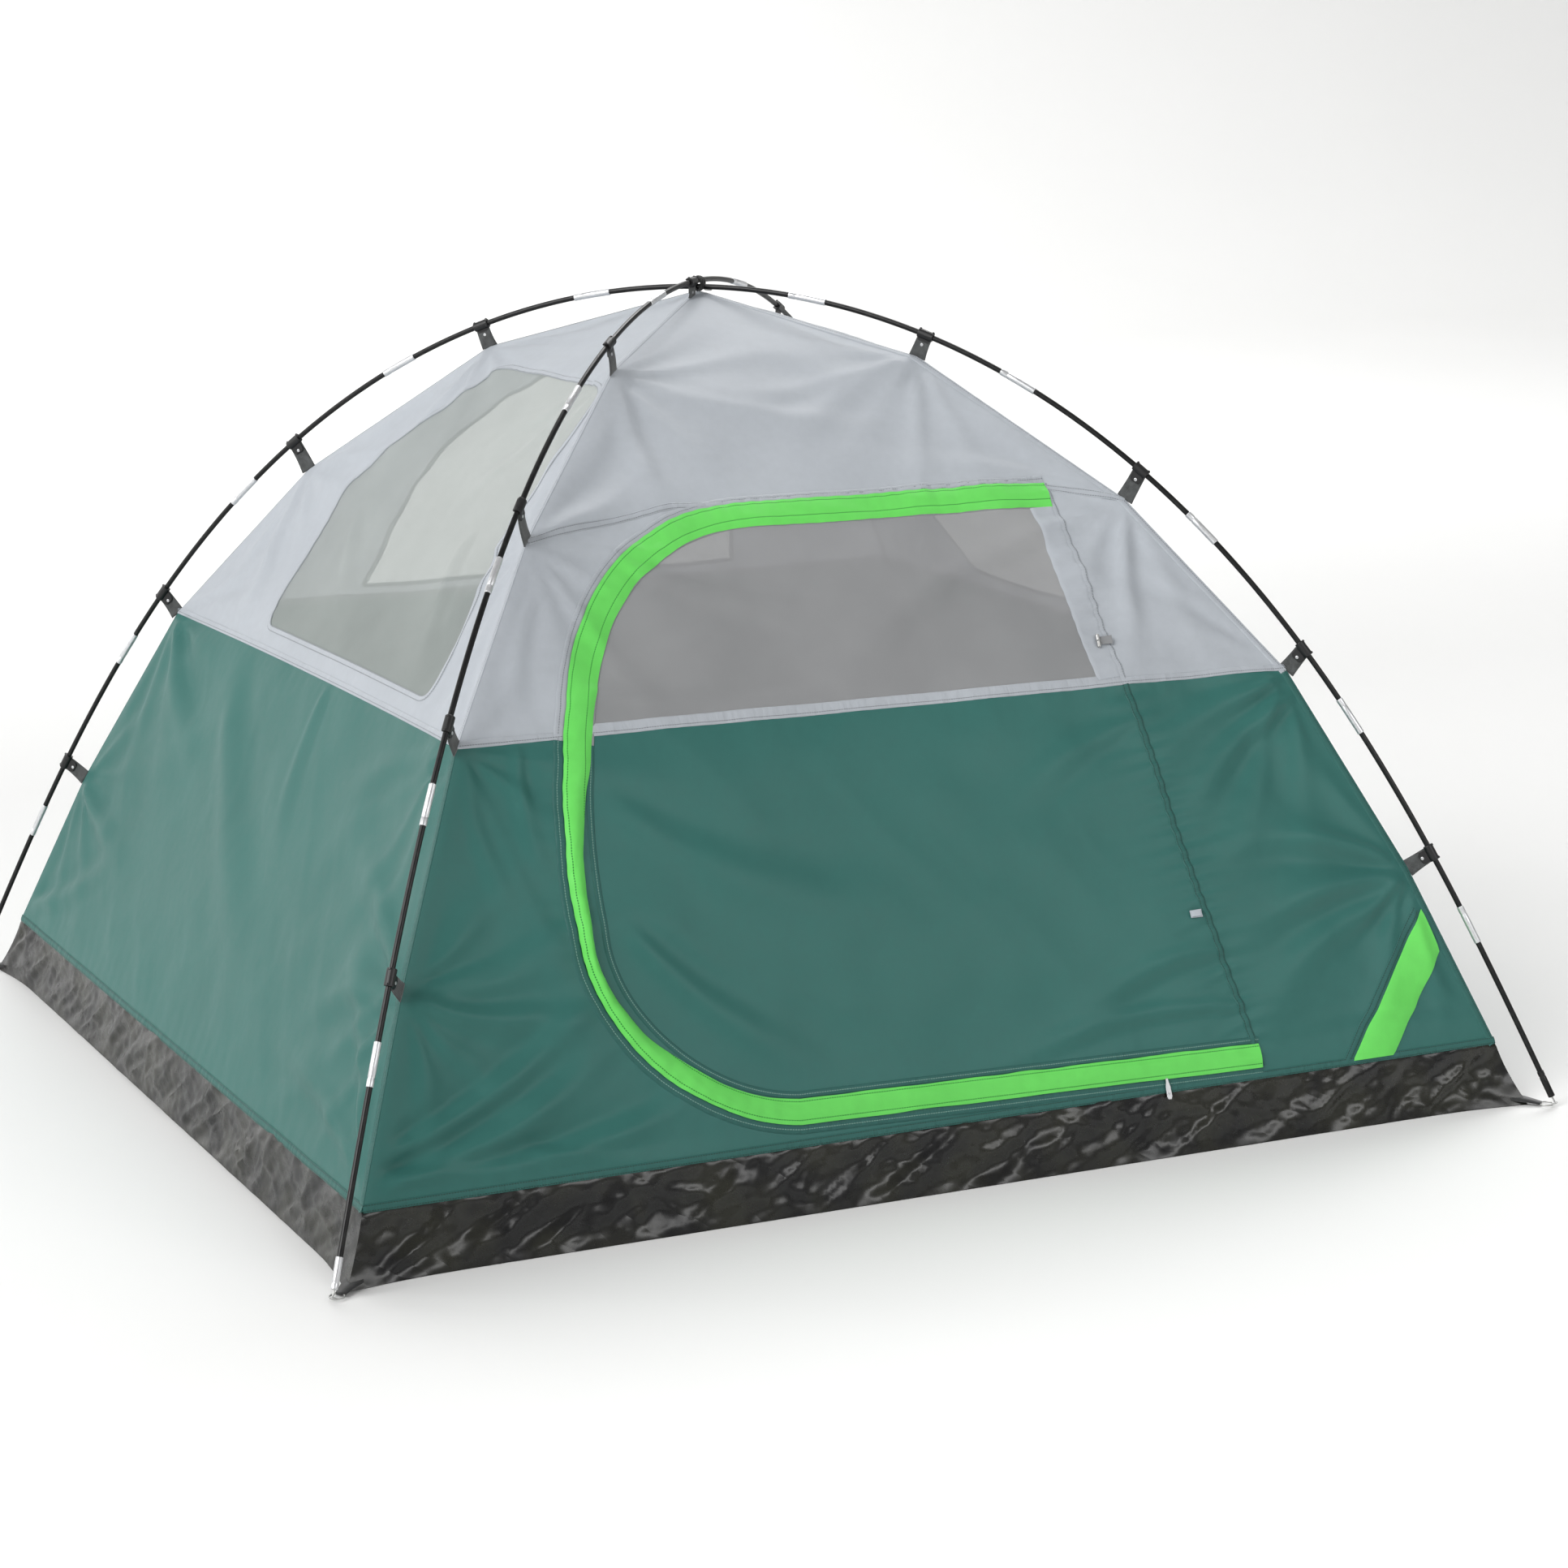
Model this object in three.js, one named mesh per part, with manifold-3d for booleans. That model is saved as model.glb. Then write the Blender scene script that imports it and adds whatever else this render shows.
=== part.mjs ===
// A three-person dome tent hung by clips under two crossed fibreglass poles.
// Millimetres, +Z up, origin on the ground under the crossing. The door wall faces -Y.

import * as THREE from "three";
import { mergeVertices } from "three/addons/utils/BufferGeometryUtils.js";
import Module from "manifold-3d";

const wasm = await Module();
wasm.setup();

// ---- driving dimensions -------------------------------------------------

const TIP = 1050; // half the distance between neighbouring pole tips
const CROSSING_Z = 1309; // axis of the lower pole at the top
const POLE_LIFT = 10.5; // the upper pole's axis over the lower one's
const END_ANGLE = 62.5; // degrees between a bent pole's end and the ground
const ROD_R = 4.5;
const FERRULE_R = 5.6;
const FERRULE_LENGTH = 66;
const SECTION_PITCH = 392; // along the pole, ferrule to ferrule
const SECTIONS = 11; // per pole
const END_FERRULE = 46;
const POLE_END_Z = 17;
const ROD_SIDES = 8;

// The canopy's ridge under each pole, from the peak to the ground: half width and height.
const RIDGE = [
  [0, 1302],
  [275, 1199],
  [528, 973],
  [723, 701],
  [870, 383],
  [977, 100],
  [1000, 0],
];
const TUB_LEVEL = 5; // the ridge point where the canopy meets the floor's raised edge
const SEAM_Z = RIDGE[3][1]; // seam between the light upper and the green lower panels
const CLOTH = 1.2;
const GAP = 0.3; // between pieces that touch
const SEAM = 2 * GAP;

// A clip hangs each ridge point under the pole: where it sits, as a share of TIP.
const CLIP_AT = [0.2719, 0.5211, 0.7075, 0.854];
const APEX_CLIP_AT = 0.022;
const HOOK_LENGTH = 28;
const HOOK_R = 8.2;
const HOOK_BORE = 5.6;
const HOOK_MOUTH = 70; // degrees of the hook left open
const TAPE_WIDTH = 22;
const TAPE_THICK = 1.8;

const DOOR_TOP = 1003;
const DOOR_LEFT = -585;
const DOOR_BELLY_Z = 430; // where the door's edge stands furthest left
const DOOR_CURVE_TOP = -150;
const DOOR_CURVE_FOOT = [-280, 131];
const HINGE = [
  [396, 1010],
  [421, 701],
  [470, 383],
  [530, 116],
];
const ZIP_CHANNEL = 10;
const FLAP_EDGE = 2.5;
const FLAP_WIDTH = 37;
const FLAP_STANDOFF = 0.5;
const FLAP_CUT_BACK = [75, 6.5]; // run and rise of the corner cut off beside the hinge's foot

const SLIDER_X = 352;
const SLIDER_SIZE = [13, 8, 4.4]; // along the zip, across it, and through the cloth
const PULL_SIZE = [6, 31, 1.6];
const PULL_STANDOFF = 3;
const PULL_DROP = 0.6; // the pull's top edge under the zip's line
const LUG_SIZE = [5, 1.1]; // along the zip and across it
const LUG_UP = 1.15; // from the zip's line, in the slit under the flap's edge

const FLOOR_THICK = 1.6;
const STRAP_WIDTH = 20;
const RING_AT = 1038;
const RING_R = 11;
const RING_WIRE = 3;

// The side window's outline on its wall: distance along the wall from its middle, and height.
const SIDE_WINDOW = [
  [295, 1178],
  [-165, 1178],
  [-328, 972],
  [-300, 735],
  [512, 735],
  [505, 800],
];
// The back window is an arch with a straight sill.
const ARCH_SILL_Z = 728;
const ARCH_HALF = 375;
const ARCH_TOP_Z = 1165;

// ---- plain solids -------------------------------------------------------

// A closed geometry as a solid that can be added to and cut.
function solid(geometry) {
  const bare = new THREE.BufferGeometry();
  bare.setAttribute("position", geometry.getAttribute("position"));
  if (geometry.index) bare.setIndex(geometry.index);
  const merged = mergeVertices(bare, 1e-3);
  const mesh = new wasm.Mesh({
    numProp: 3,
    vertProperties: new Float32Array(merged.attributes.position.array),
    triVerts: new Uint32Array(merged.index.array),
  });
  return new wasm.Manifold(mesh);
}

function geometryOf(body) {
  const m = body.getMesh();
  const g = new THREE.BufferGeometry();
  g.setAttribute("position", new THREE.BufferAttribute(m.vertProperties, 3));
  g.setIndex(new THREE.BufferAttribute(m.triVerts, 1));
  return g;
}

// A polygon pushed along a local axis: its points are (a, b) on the axes given.
function prism(points, origin, aAxis, bAxis, depthAxis, from, to) {
  const shape = new THREE.Shape(points.map(([a, b]) => new THREE.Vector2(a, b)));
  const g = new THREE.ExtrudeGeometry(shape, { depth: to - from, bevelEnabled: false });
  g.translate(0, 0, from);
  const frame = new THREE.Matrix4().makeBasis(aAxis, bAxis, depthAxis);
  frame.setPosition(origin);
  g.applyMatrix4(frame);
  return solid(g);
}

const X = new THREE.Vector3(1, 0, 0);
const Y = new THREE.Vector3(0, 1, 0);
const Z = new THREE.Vector3(0, 0, 1);
const ORIGIN = new THREE.Vector3();

// An outline of (x, z) points on the front wall, as a block that reaches through it.
function through(points) {
  return prism(points, ORIGIN, X, Z, Y.clone().negate(), 0, 1.2 * TIP);
}

function box(size, centre, aAxis, bAxis, cAxis) {
  const [a, b, c] = size;
  const corners = [
    [-a / 2, -b / 2],
    [a / 2, -b / 2],
    [a / 2, b / 2],
    [-a / 2, b / 2],
  ];
  return prism(corners, centre, aAxis, bAxis, cAxis, -c / 2, c / 2);
}

// A round bar through stations of {at, side, up, r}, each one ring of points.
function bar(stations, sides) {
  const points = [];
  const faces = [];
  for (const { at, side, up, r } of stations) {
    for (let i = 0; i < sides; i++) {
      const turn = (2 * Math.PI * (i + 0.5)) / sides;
      const p = at.clone();
      p.addScaledVector(side, r * Math.cos(turn));
      p.addScaledVector(up, r * Math.sin(turn));
      points.push(p.x, p.y, p.z);
    }
  }
  for (let k = 0; k + 1 < stations.length; k++) {
    for (let i = 0; i < sides; i++) {
      const a = k * sides + i;
      const b = k * sides + ((i + 1) % sides);
      faces.push(a, b, b + sides, a, b + sides, a + sides);
    }
  }
  const last = (stations.length - 1) * sides;
  for (let i = 1; i + 1 < sides; i++) {
    faces.push(0, i + 1, i);
    faces.push(last, last + i, last + i + 1);
  }
  const g = new THREE.BufferGeometry();
  g.setAttribute("position", new THREE.BufferAttribute(new Float32Array(points), 3));
  g.setIndex(faces);
  return solid(g);
}

// ---- poles --------------------------------------------------------------

// Half of a bent rod as an ideal elastic strip: rows of [share of half span, share of height].
function elasticHalf(endAngle, steps) {
  const k = Math.sin(endAngle / 2);
  const rows = [[0, 0]];
  let across = 0;
  let down = 0;
  for (let i = 0; i < steps; i++) {
    const phi = ((i + 0.5) / steps) * (Math.PI / 2);
    const theta = 2 * Math.asin(k * Math.sin(phi));
    const ds = Math.PI / 2 / steps / Math.sqrt(1 - (k * Math.sin(phi)) ** 2);
    across += Math.cos(theta) * ds;
    down += Math.sin(theta) * ds;
    rows.push([across, down]);
  }
  return rows.map(([a, d]) => [a / across, 1 - d / down]);
}

const HALF = elasticHalf(THREE.MathUtils.degToRad(END_ANGLE), 240);

// One pole in its own upright plane: a table of distance out, height and length along it.
function poleCurve(top) {
  const span = TIP * Math.SQRT2;
  let length = 0;
  return HALF.map(([a, h], i) => {
    if (i > 0) {
      const [pa, ph] = HALF[i - 1];
      length += Math.hypot((a - pa) * span, (h - ph) * top);
    }
    return [a * span, h * top, length];
  });
}

// The pole's point, direction and upward normal, a signed length from the crossing.
function poleFrame(pole, along) {
  const { curve, out } = pole;
  const sign = along < 0 ? -1 : 1;
  const reach = Math.abs(along);
  let i = 1;
  while (i < curve.length - 1 && curve[i][2] < reach) i++;
  const [a0, h0, l0] = curve[i - 1];
  const [a1, h1, l1] = curve[i];
  const t = (reach - l0) / (l1 - l0);
  const flat = out.clone().multiplyScalar(sign);
  const at = flat.clone().multiplyScalar(a0 + t * (a1 - a0));
  at.z = h0 + t * (h1 - h0);
  const tangent = flat.clone().multiplyScalar(a1 - a0);
  tangent.z = h1 - h0;
  tangent.normalize().multiplyScalar(sign);
  const side = new THREE.Vector3().crossVectors(Z, out).normalize();
  const up = new THREE.Vector3().crossVectors(tangent, side).normalize();
  return { at, tangent, side, up };
}

// Where a pole stands a given share of TIP out from the crossing.
function lengthAt(pole, share) {
  const wanted = share * TIP * Math.SQRT2;
  const i = pole.curve.findIndex((row) => row[0] >= wanted);
  const [a0, , l0] = pole.curve[i - 1];
  const [a1, , l1] = pole.curve[i];
  return l0 + ((wanted - a0) / (a1 - a0)) * (l1 - l0);
}

// Where a pole ends, POLE_END_Z over the ground.
function poleReach(pole) {
  const i = pole.curve.findIndex((row) => row[1] <= POLE_END_Z);
  const [, h0, l0] = pole.curve[i - 1];
  const [, h1, l1] = pole.curve[i];
  return l0 + ((h0 - POLE_END_Z) / (h0 - h1)) * (l1 - l0);
}

function makePole(name, out, top) {
  return { name, out: out.normalize(), curve: poleCurve(top) };
}

const UPPER = makePole("upper", new THREE.Vector3(1, 1, 0), CROSSING_Z + POLE_LIFT);
const LOWER = makePole("lower", new THREE.Vector3(1, -1, 0), CROSSING_Z);

// One section: a rod, the metal sleeve glued to its far end, and at a pole's end its metal tip.
function poleSection(pole, number) {
  const reach = poleReach(pole);
  const joint = (n) => (n - SECTIONS / 2) * SECTION_PITCH;
  const first = number === 1;
  const final = number === SECTIONS;
  const start = first ? -reach : joint(number - 1) + FERRULE_LENGTH / 2 + GAP;
  const end = final ? reach : joint(number) + FERRULE_LENGTH / 2;
  const sleeve = final ? end - END_FERRULE : end - FERRULE_LENGTH;
  const marks = [];
  const add = (along, r) => marks.push([along, r]);
  if (first) {
    add(start, FERRULE_R);
    add(start + END_FERRULE, FERRULE_R);
  }
  const bare = first ? start + END_FERRULE : start;
  const bends = 4;
  for (let i = 0; i <= bends; i++) add(bare + (i / bends) * (sleeve - bare), ROD_R);
  add(sleeve, FERRULE_R);
  add(end, FERRULE_R);
  const stations = marks.map(([along, r]) => ({ ...poleFrame(pole, along), r }));
  return bar(stations, ROD_SIDES);
}

// ---- clips --------------------------------------------------------------

// A plastic hook round the pole, with the webbing tape that holds the canopy's ridge.
function clip(pole, share, sign, ridge) {
  const along = sign * lengthAt(pole, share);
  const { at, tangent, side, up } = poleFrame(pole, along);
  const steps = 9;
  const mouth = HOOK_MOUTH / 2;
  const arc = (r) => {
    const points = [];
    for (let i = 0; i <= steps; i++) {
      const turn = THREE.MathUtils.degToRad(mouth + (i / steps) * (360 - 2 * mouth));
      points.push([r * Math.cos(turn), r * Math.sin(turn)]);
    }
    return points;
  };
  const bore = prism(arc(HOOK_BORE), at, side, up, tangent, -HOOK_LENGTH, HOOK_LENGTH);
  const section = [...arc(HOOK_R), ...arc(HOOK_BORE).reverse()];
  const hook = prism(section, at, side, up, tangent, -HOOK_LENGTH / 2, HOOK_LENGTH / 2);

  const foot = pole.out.clone().multiplyScalar(sign * ridge[0] * Math.SQRT2);
  foot.z = ridge[1];
  const drop = new THREE.Vector3().subVectors(foot, at);
  const length = drop.length();
  drop.normalize();
  const across = new THREE.Vector3().crossVectors(drop, side).normalize();
  const top = HOOK_R - 1;
  const bottom = length - CLOTH - TAPE_THICK;
  const middle = at.clone().addScaledVector(drop, (top + bottom) / 2);
  const tape = box([TAPE_THICK, TAPE_WIDTH, bottom - top], middle, side, across, drop);
  return hook.add(tape).subtract(bore);
}

// ---- canopy -------------------------------------------------------------

// The front wall's section moved out by a distance, as (out, height) points.
function ridgeOffset(distance, from, to) {
  const points = [];
  for (let i = from; i <= to; i++) {
    const here = new THREE.Vector2(...RIDGE[i]);
    const normals = [];
    for (const [a, b] of [[i - 1, i], [i, i + 1]]) {
      if (a < 0 || b >= RIDGE.length) continue;
      const run = new THREE.Vector2(...RIDGE[b]).sub(new THREE.Vector2(...RIDGE[a]));
      normals.push(new THREE.Vector2(-run.y, run.x).normalize());
    }
    const mean = normals.reduce((sum, n) => sum.add(n), new THREE.Vector2()).normalize();
    const reach = distance / mean.dot(normals[0]);
    points.push([here.x + mean.x * reach, here.y + mean.y * reach]);
  }
  return points;
}

// A sheet over the front wall's whole width, between two offsets from the ridge section.
function frontSheet(inner, outer, from, to) {
  const section = [...ridgeOffset(outer, from, to), ...ridgeOffset(inner, from, to).reverse()];
  return prism(section, ORIGIN, Y.clone().negate(), Z, X.clone().negate(), -1.1 * TIP, 1.1 * TIP);
}

// The quarter of the plan that belongs to the front wall: neighbours meet on the diagonals.
function quarter() {
  const far = 1.2 * TIP;
  const plan = [
    [0, -GAP],
    [-far, -far - GAP],
    [far, -far - GAP],
  ];
  return prism(plan, ORIGIN, X, Y, Z, -50, 1.2 * CROSSING_Z);
}

const QUARTER = quarter();
const WALL = frontSheet(-CLOTH, 0, 0, TUB_LEVEL).intersect(QUARTER);

function band(low, high) {
  const wide = 1.1 * TIP;
  return through([
    [-wide, low],
    [wide, low],
    [wide, high],
    [-wide, high],
  ]);
}

const UPPER_WALL = WALL.intersect(band(SEAM_Z + GAP / 2, 1.1 * CROSSING_Z));
const LOWER_WALL = WALL.intersect(band(RIDGE[TUB_LEVEL][1] + GAP, SEAM_Z - GAP / 2));

// ---- door ---------------------------------------------------------------

// The zip's line round the door, from the hinge's top to its foot.
function zipLine() {
  const top = new THREE.CubicBezierCurve(
    new THREE.Vector2(DOOR_CURVE_TOP, DOOR_TOP),
    new THREE.Vector2(-470, DOOR_TOP),
    new THREE.Vector2(-590, 740),
    new THREE.Vector2(DOOR_LEFT, DOOR_BELLY_Z),
  );
  const foot = new THREE.CubicBezierCurve(
    new THREE.Vector2(DOOR_LEFT, DOOR_BELLY_Z),
    new THREE.Vector2(-590, 300),
    new THREE.Vector2(-460, 150),
    new THREE.Vector2(...DOOR_CURVE_FOOT),
  );
  const start = new THREE.Vector2(HINGE[0][0] + 60, DOOR_TOP);
  const end = footPoint(HINGE[3][0] + 60);
  return [start, ...top.getPoints(14), ...foot.getPoints(12).slice(1), end];
}

// A point of the zip's straight run along the foot of the door.
function footPoint(x) {
  const [x0, z0] = DOOR_CURVE_FOOT;
  const [x1, z1] = HINGE[3];
  return new THREE.Vector2(x, z0 + ((x - x0) / (x1 - x0)) * (z1 - z0));
}

// The inside of the zip's line, moved in by a distance.
function insideZip(inset) {
  const line = zipLine();
  const moved = line.map((p, i) => {
    const before = line[Math.max(0, i - 1)];
    const after = line[Math.min(line.length - 1, i + 1)];
    const run = new THREE.Vector2().subVectors(after, before).normalize();
    return [p.x - run.y * inset, p.y + run.x * inset];
  });
  return through(moved);
}

// The door's side of the hinge seam, moved away from it by a distance.
function besideHinge(inset) {
  const [[topX]] = HINGE;
  const [footX] = HINGE[3];
  const edge = HINGE.map(([x, z]) => [x - inset, z]);
  return through([
    [topX - inset, 1200],
    [-800, 1200],
    [-800, 20],
    [footX - inset, 20],
    ...edge.reverse(),
  ]);
}

const DOORWAY = insideZip(0).intersect(besideHinge(0));

function doorPanel(low, high) {
  const leaf = insideZip(ZIP_CHANNEL).intersect(besideHinge(SEAM));
  return WALL.intersect(leaf).intersect(band(low, high));
}

// The bright flap sewn round the door's edge, lying over the zip.
function zipFlap() {
  const sheet = frontSheet(FLAP_STANDOFF, FLAP_STANDOFF + CLOTH, 1, TUB_LEVEL);
  const strip = insideZip(FLAP_EDGE).subtract(insideZip(FLAP_EDGE + FLAP_WIDTH));
  return sheet.intersect(strip).intersect(besideHinge(SEAM)).subtract(flapCorner());
}

// The corner cut off the flap's foot, which lets the door swing clear of the hem below it.
function flapCorner() {
  const [run, rise] = FLAP_CUT_BACK;
  const [x, z] = HINGE[3];
  const inner = footPoint(x - run).y + FLAP_EDGE;
  return through([
    [x + 10, z - 20],
    [x + 10, z + FLAP_EDGE + rise],
    [x, z + FLAP_EDGE + rise],
    [x - run, inner],
    [x - run, z - 20],
  ]);
}

// ---- zip slider ---------------------------------------------------------

// Axes at the slider: along the zip, up the wall, and out of the wall.
function sliderFrame() {
  const [out0, z0] = RIDGE[TUB_LEVEL];
  const [out1, z1] = RIDGE[TUB_LEVEL - 1];
  const slope = (out1 - out0) / (z1 - z0);
  const onWall = (p) => new THREE.Vector3(p.x, -(out0 + (p.y - z0) * slope), p.y);
  const at = onWall(footPoint(SLIDER_X));
  const along = onWall(footPoint(SLIDER_X + 100)).sub(at).normalize();
  const out = new THREE.Vector3().crossVectors(X, new THREE.Vector3(0, -slope, 1)).normalize();
  const up = new THREE.Vector3().crossVectors(out, along).normalize();
  return { at, along, out, up };
}

function zipSlider() {
  const { at, along, out, up } = sliderFrame();
  const [length, width, depth] = SLIDER_SIZE;
  const middle = at.clone().addScaledVector(up, ZIP_CHANNEL / 2).addScaledVector(out, -depth / 2);
  const body = box([length, width, depth], middle, along, up, out);
  const lugSize = [...LUG_SIZE, PULL_STANDOFF + PULL_SIZE[2] / 2 + depth / 2];
  const lugAt = at.clone().addScaledVector(up, LUG_UP);
  lugAt.addScaledVector(out, lugSize[2] / 2 - depth / 2);
  return body.add(box(lugSize, lugAt, along, up, out));
}

function zipPull() {
  const { at, along, out, up } = sliderFrame();
  const [width, length, thick] = PULL_SIZE;
  const middle = at.clone().addScaledVector(up, -PULL_DROP - length / 2);
  middle.addScaledVector(out, PULL_STANDOFF + thick / 2);
  return box(PULL_SIZE, middle, along, up, out);
}

// ---- windows ------------------------------------------------------------

function archOutline() {
  const rise = ARCH_TOP_Z - ARCH_SILL_Z;
  const flank = new THREE.CubicBezierCurve(
    new THREE.Vector2(ARCH_HALF, ARCH_SILL_Z),
    new THREE.Vector2(0.83 * ARCH_HALF, ARCH_SILL_Z + 0.46 * rise),
    new THREE.Vector2(0.77 * ARCH_HALF, ARCH_TOP_Z),
    new THREE.Vector2(0, ARCH_TOP_Z),
  );
  const right = flank.getPoints(8).map((p) => [p.x, p.y]);
  const left = right.slice(0, -1).map(([x, z]) => [-x, z]);
  return [...right, ...left.reverse()];
}

function inset(points, distance) {
  const middle = points.reduce(([a, b], [x, z]) => [a + x, b + z], [0, 0]);
  const cx = middle[0] / points.length;
  const cz = middle[1] / points.length;
  return points.map(([x, z]) => {
    const reach = Math.hypot(x - cx, z - cz);
    const keep = (reach - distance) / reach;
    return [cx + (x - cx) * keep, cz + (z - cz) * keep];
  });
}

// A wall's upper panel and the mesh sewn into it.
function windowedPanel(outline) {
  const panel = UPPER_WALL.subtract(through(outline));
  const mesh = UPPER_WALL.intersect(through(inset(outline, SEAM)));
  return { panel, mesh };
}

// ---- floor and corners --------------------------------------------------

// A square frustum between two heights.
function frustum(lowHalf, lowZ, highHalf, highZ) {
  const corner = (half, z, i) => {
    const sx = i === 0 || i === 3 ? -1 : 1;
    const sy = i < 2 ? -1 : 1;
    return [sx * half, sy * half, z];
  };
  const points = [];
  for (let i = 0; i < 4; i++) points.push(...corner(lowHalf, lowZ, i));
  for (let i = 0; i < 4; i++) points.push(...corner(highHalf, highZ, i));
  const faces = [0, 2, 1, 0, 3, 2, 4, 5, 6, 4, 6, 7];
  for (let i = 0; i < 4; i++) {
    const j = (i + 1) % 4;
    faces.push(i, j, j + 4, i, j + 4, i + 4);
  }
  const g = new THREE.BufferGeometry();
  g.setAttribute("position", new THREE.BufferAttribute(new Float32Array(points), 3));
  g.setIndex(faces);
  return solid(g);
}

const CORNERS = [
  ["near", UPPER, -1],
  ["back", UPPER, 1],
  ["left", LOWER, -1],
  ["right", LOWER, 1],
];

// The raised-edge groundsheet, with the webbing strap sewn to each of its corners.
function floorTub() {
  const [topHalf, topZ] = RIDGE[TUB_LEVEL];
  const [footHalf] = RIDGE[TUB_LEVEL + 1];
  const rise = (footHalf - topHalf) / topZ;
  const outer = frustum(footHalf, 0, topHalf, topZ);
  const lip = topZ + 5;
  const inner = frustum(
    footHalf - FLOOR_THICK - rise * FLOOR_THICK,
    FLOOR_THICK,
    footHalf - FLOOR_THICK - rise * lip,
    lip,
  );
  let tub = outer.subtract(inner);
  for (const [, pole, sign] of CORNERS) tub = tub.add(cornerStrap(pole, sign));
  return tub;
}

function cornerStrap(pole, sign) {
  const out = pole.out.clone().multiplyScalar(sign);
  const side = new THREE.Vector3().crossVectors(Z, out);
  const from = RIDGE[TUB_LEVEL + 1][0] * Math.SQRT2 - 12;
  const to = RING_AT * Math.SQRT2 - RING_R - RING_WIRE;
  const middle = out.clone().multiplyScalar((from + to) / 2);
  middle.z = 4;
  return box([to - from, STRAP_WIDTH, 2], middle, out, side, Z);
}

// The steel ring on the strap, and the pin on it that stands in the pole's hollow end.
function ringAndPin(pole, sign) {
  const out = pole.out.clone().multiplyScalar(sign);
  const side = new THREE.Vector3().crossVectors(Z, out);
  const centre = out.clone().multiplyScalar(RING_AT * Math.SQRT2);
  centre.z = 4;
  const round = (r) => {
    const points = [];
    for (let i = 0; i < 12; i++) {
      const turn = (2 * Math.PI * i) / 12;
      points.push([r * Math.cos(turn), r * Math.sin(turn)]);
    }
    return points;
  };
  const half = RING_WIRE / 2;
  const disc = prism(round(RING_R + half), centre, out, side, Z, -half, half);
  const hole = prism(round(RING_R - half), centre, out, side, Z, -RING_WIRE, RING_WIRE);
  const end = poleFrame(pole, sign * poleReach(pole));
  const down = end.tangent.clone().multiplyScalar(sign);
  const head = end.at.clone().addScaledVector(down, RING_WIRE);
  const foot = centre.clone().addScaledVector(out, RING_R);
  const run = new THREE.Vector3().subVectors(foot, head);
  const middle = head.clone().addScaledVector(run, 0.5);
  const length = run.length();
  run.normalize();
  const flat = new THREE.Vector3().crossVectors(run, side).normalize();
  const pin = box([RING_WIRE, RING_WIRE, length], middle, side, flat, run);
  return disc.subtract(hole).add(pin);
}

// ---- assembly -----------------------------------------------------------

// Colour, roughness and metalness of each material.
const FINISHES = {
  rod: [0x1b1c1e, 0.35, 0],
  steel: [0xc9ccd0, 0.3, 1],
  webbing: [0x3c4141, 0.8, 0],
  grey: [0xc9ced6, 0.6, 0],
  green: [0x5e8f82, 0.6, 0],
  lime: [0x5ae15f, 0.55, 0],
  mesh: [0xa9aca9, 0.9, 0],
  floor: [0x2d2b26, 0.4, 0],
};

const group = new THREE.Group();

function place(name, body, finish, turn = 0) {
  const [color, roughness, metalness] = FINISHES[finish];
  const material = new THREE.MeshStandardMaterial({ color, roughness, metalness });
  const mesh = new THREE.Mesh(geometryOf(body), material);
  mesh.name = name;
  mesh.rotation.z = THREE.MathUtils.degToRad(turn);
  group.add(mesh);
}

for (const pole of [UPPER, LOWER]) {
  for (let number = 1; number <= SECTIONS; number++) {
    const label = String(number).padStart(2, "0");
    place(`pole_${pole.name}_${label}`, poleSection(pole, number), "rod");
  }
}

for (const [corner, pole, sign] of CORNERS) {
  CLIP_AT.forEach((share, i) => {
    place(`clip_${corner}_${i + 1}`, clip(pole, share, sign, RIDGE[i + 1]), "webbing");
  });
  place(`ring_${corner}`, ringAndPin(pole, sign), "steel");
}

const apexFoot = APEX_CLIP_AT * TIP;
const apexRidge = [apexFoot, RIDGE[0][1] - (apexFoot * (RIDGE[0][1] - RIDGE[1][1])) / RIDGE[1][0]];
place("clip_apex", clip(UPPER, APEX_CLIP_AT, -1, apexRidge), "webbing");

place("front_upper", UPPER_WALL.subtract(DOORWAY), "grey");
place("front_lower", LOWER_WALL.subtract(DOORWAY), "green");
const side = windowedPanel(SIDE_WINDOW);
const mirrored = windowedPanel(SIDE_WINDOW.map(([x, z]) => [-x, z]).reverse());
const arch = windowedPanel(archOutline());
const WALLS = [
  ["left", side, -90],
  ["right", mirrored, 90],
  ["back", arch, 180],
];
for (const [name, { panel, mesh }, turn] of WALLS) {
  place(`${name}_upper`, panel, "grey", turn);
  place(`${name}_window`, mesh, "mesh", turn);
  place(`${name}_lower`, LOWER_WALL, "green", turn);
}
place("floor_tub", floorTub(), "floor");

place("door_mesh", doorPanel(SEAM_Z + GAP / 2, CROSSING_Z), "mesh");
place("door_lower", doorPanel(0, SEAM_Z - GAP / 2), "green");
place("door_zip_flap", zipFlap(), "lime");
place("zip_slider", zipSlider(), "steel");
place("zip_pull", zipPull(), "steel");

export default group;
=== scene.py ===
"""A dome tent hung by clips under two crossed poles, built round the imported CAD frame.

Metres, +Z up, the door wall facing -Y. Every wall is worked out once, as a surface of
a (along the wall from its middle) and v (up the cloth from the ground), and turned to its side.
"""

import math

import bpy
import numpy as np
from mathutils import Matrix, Vector
from mathutils.geometry import delaunay_2d_cdt


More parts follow.
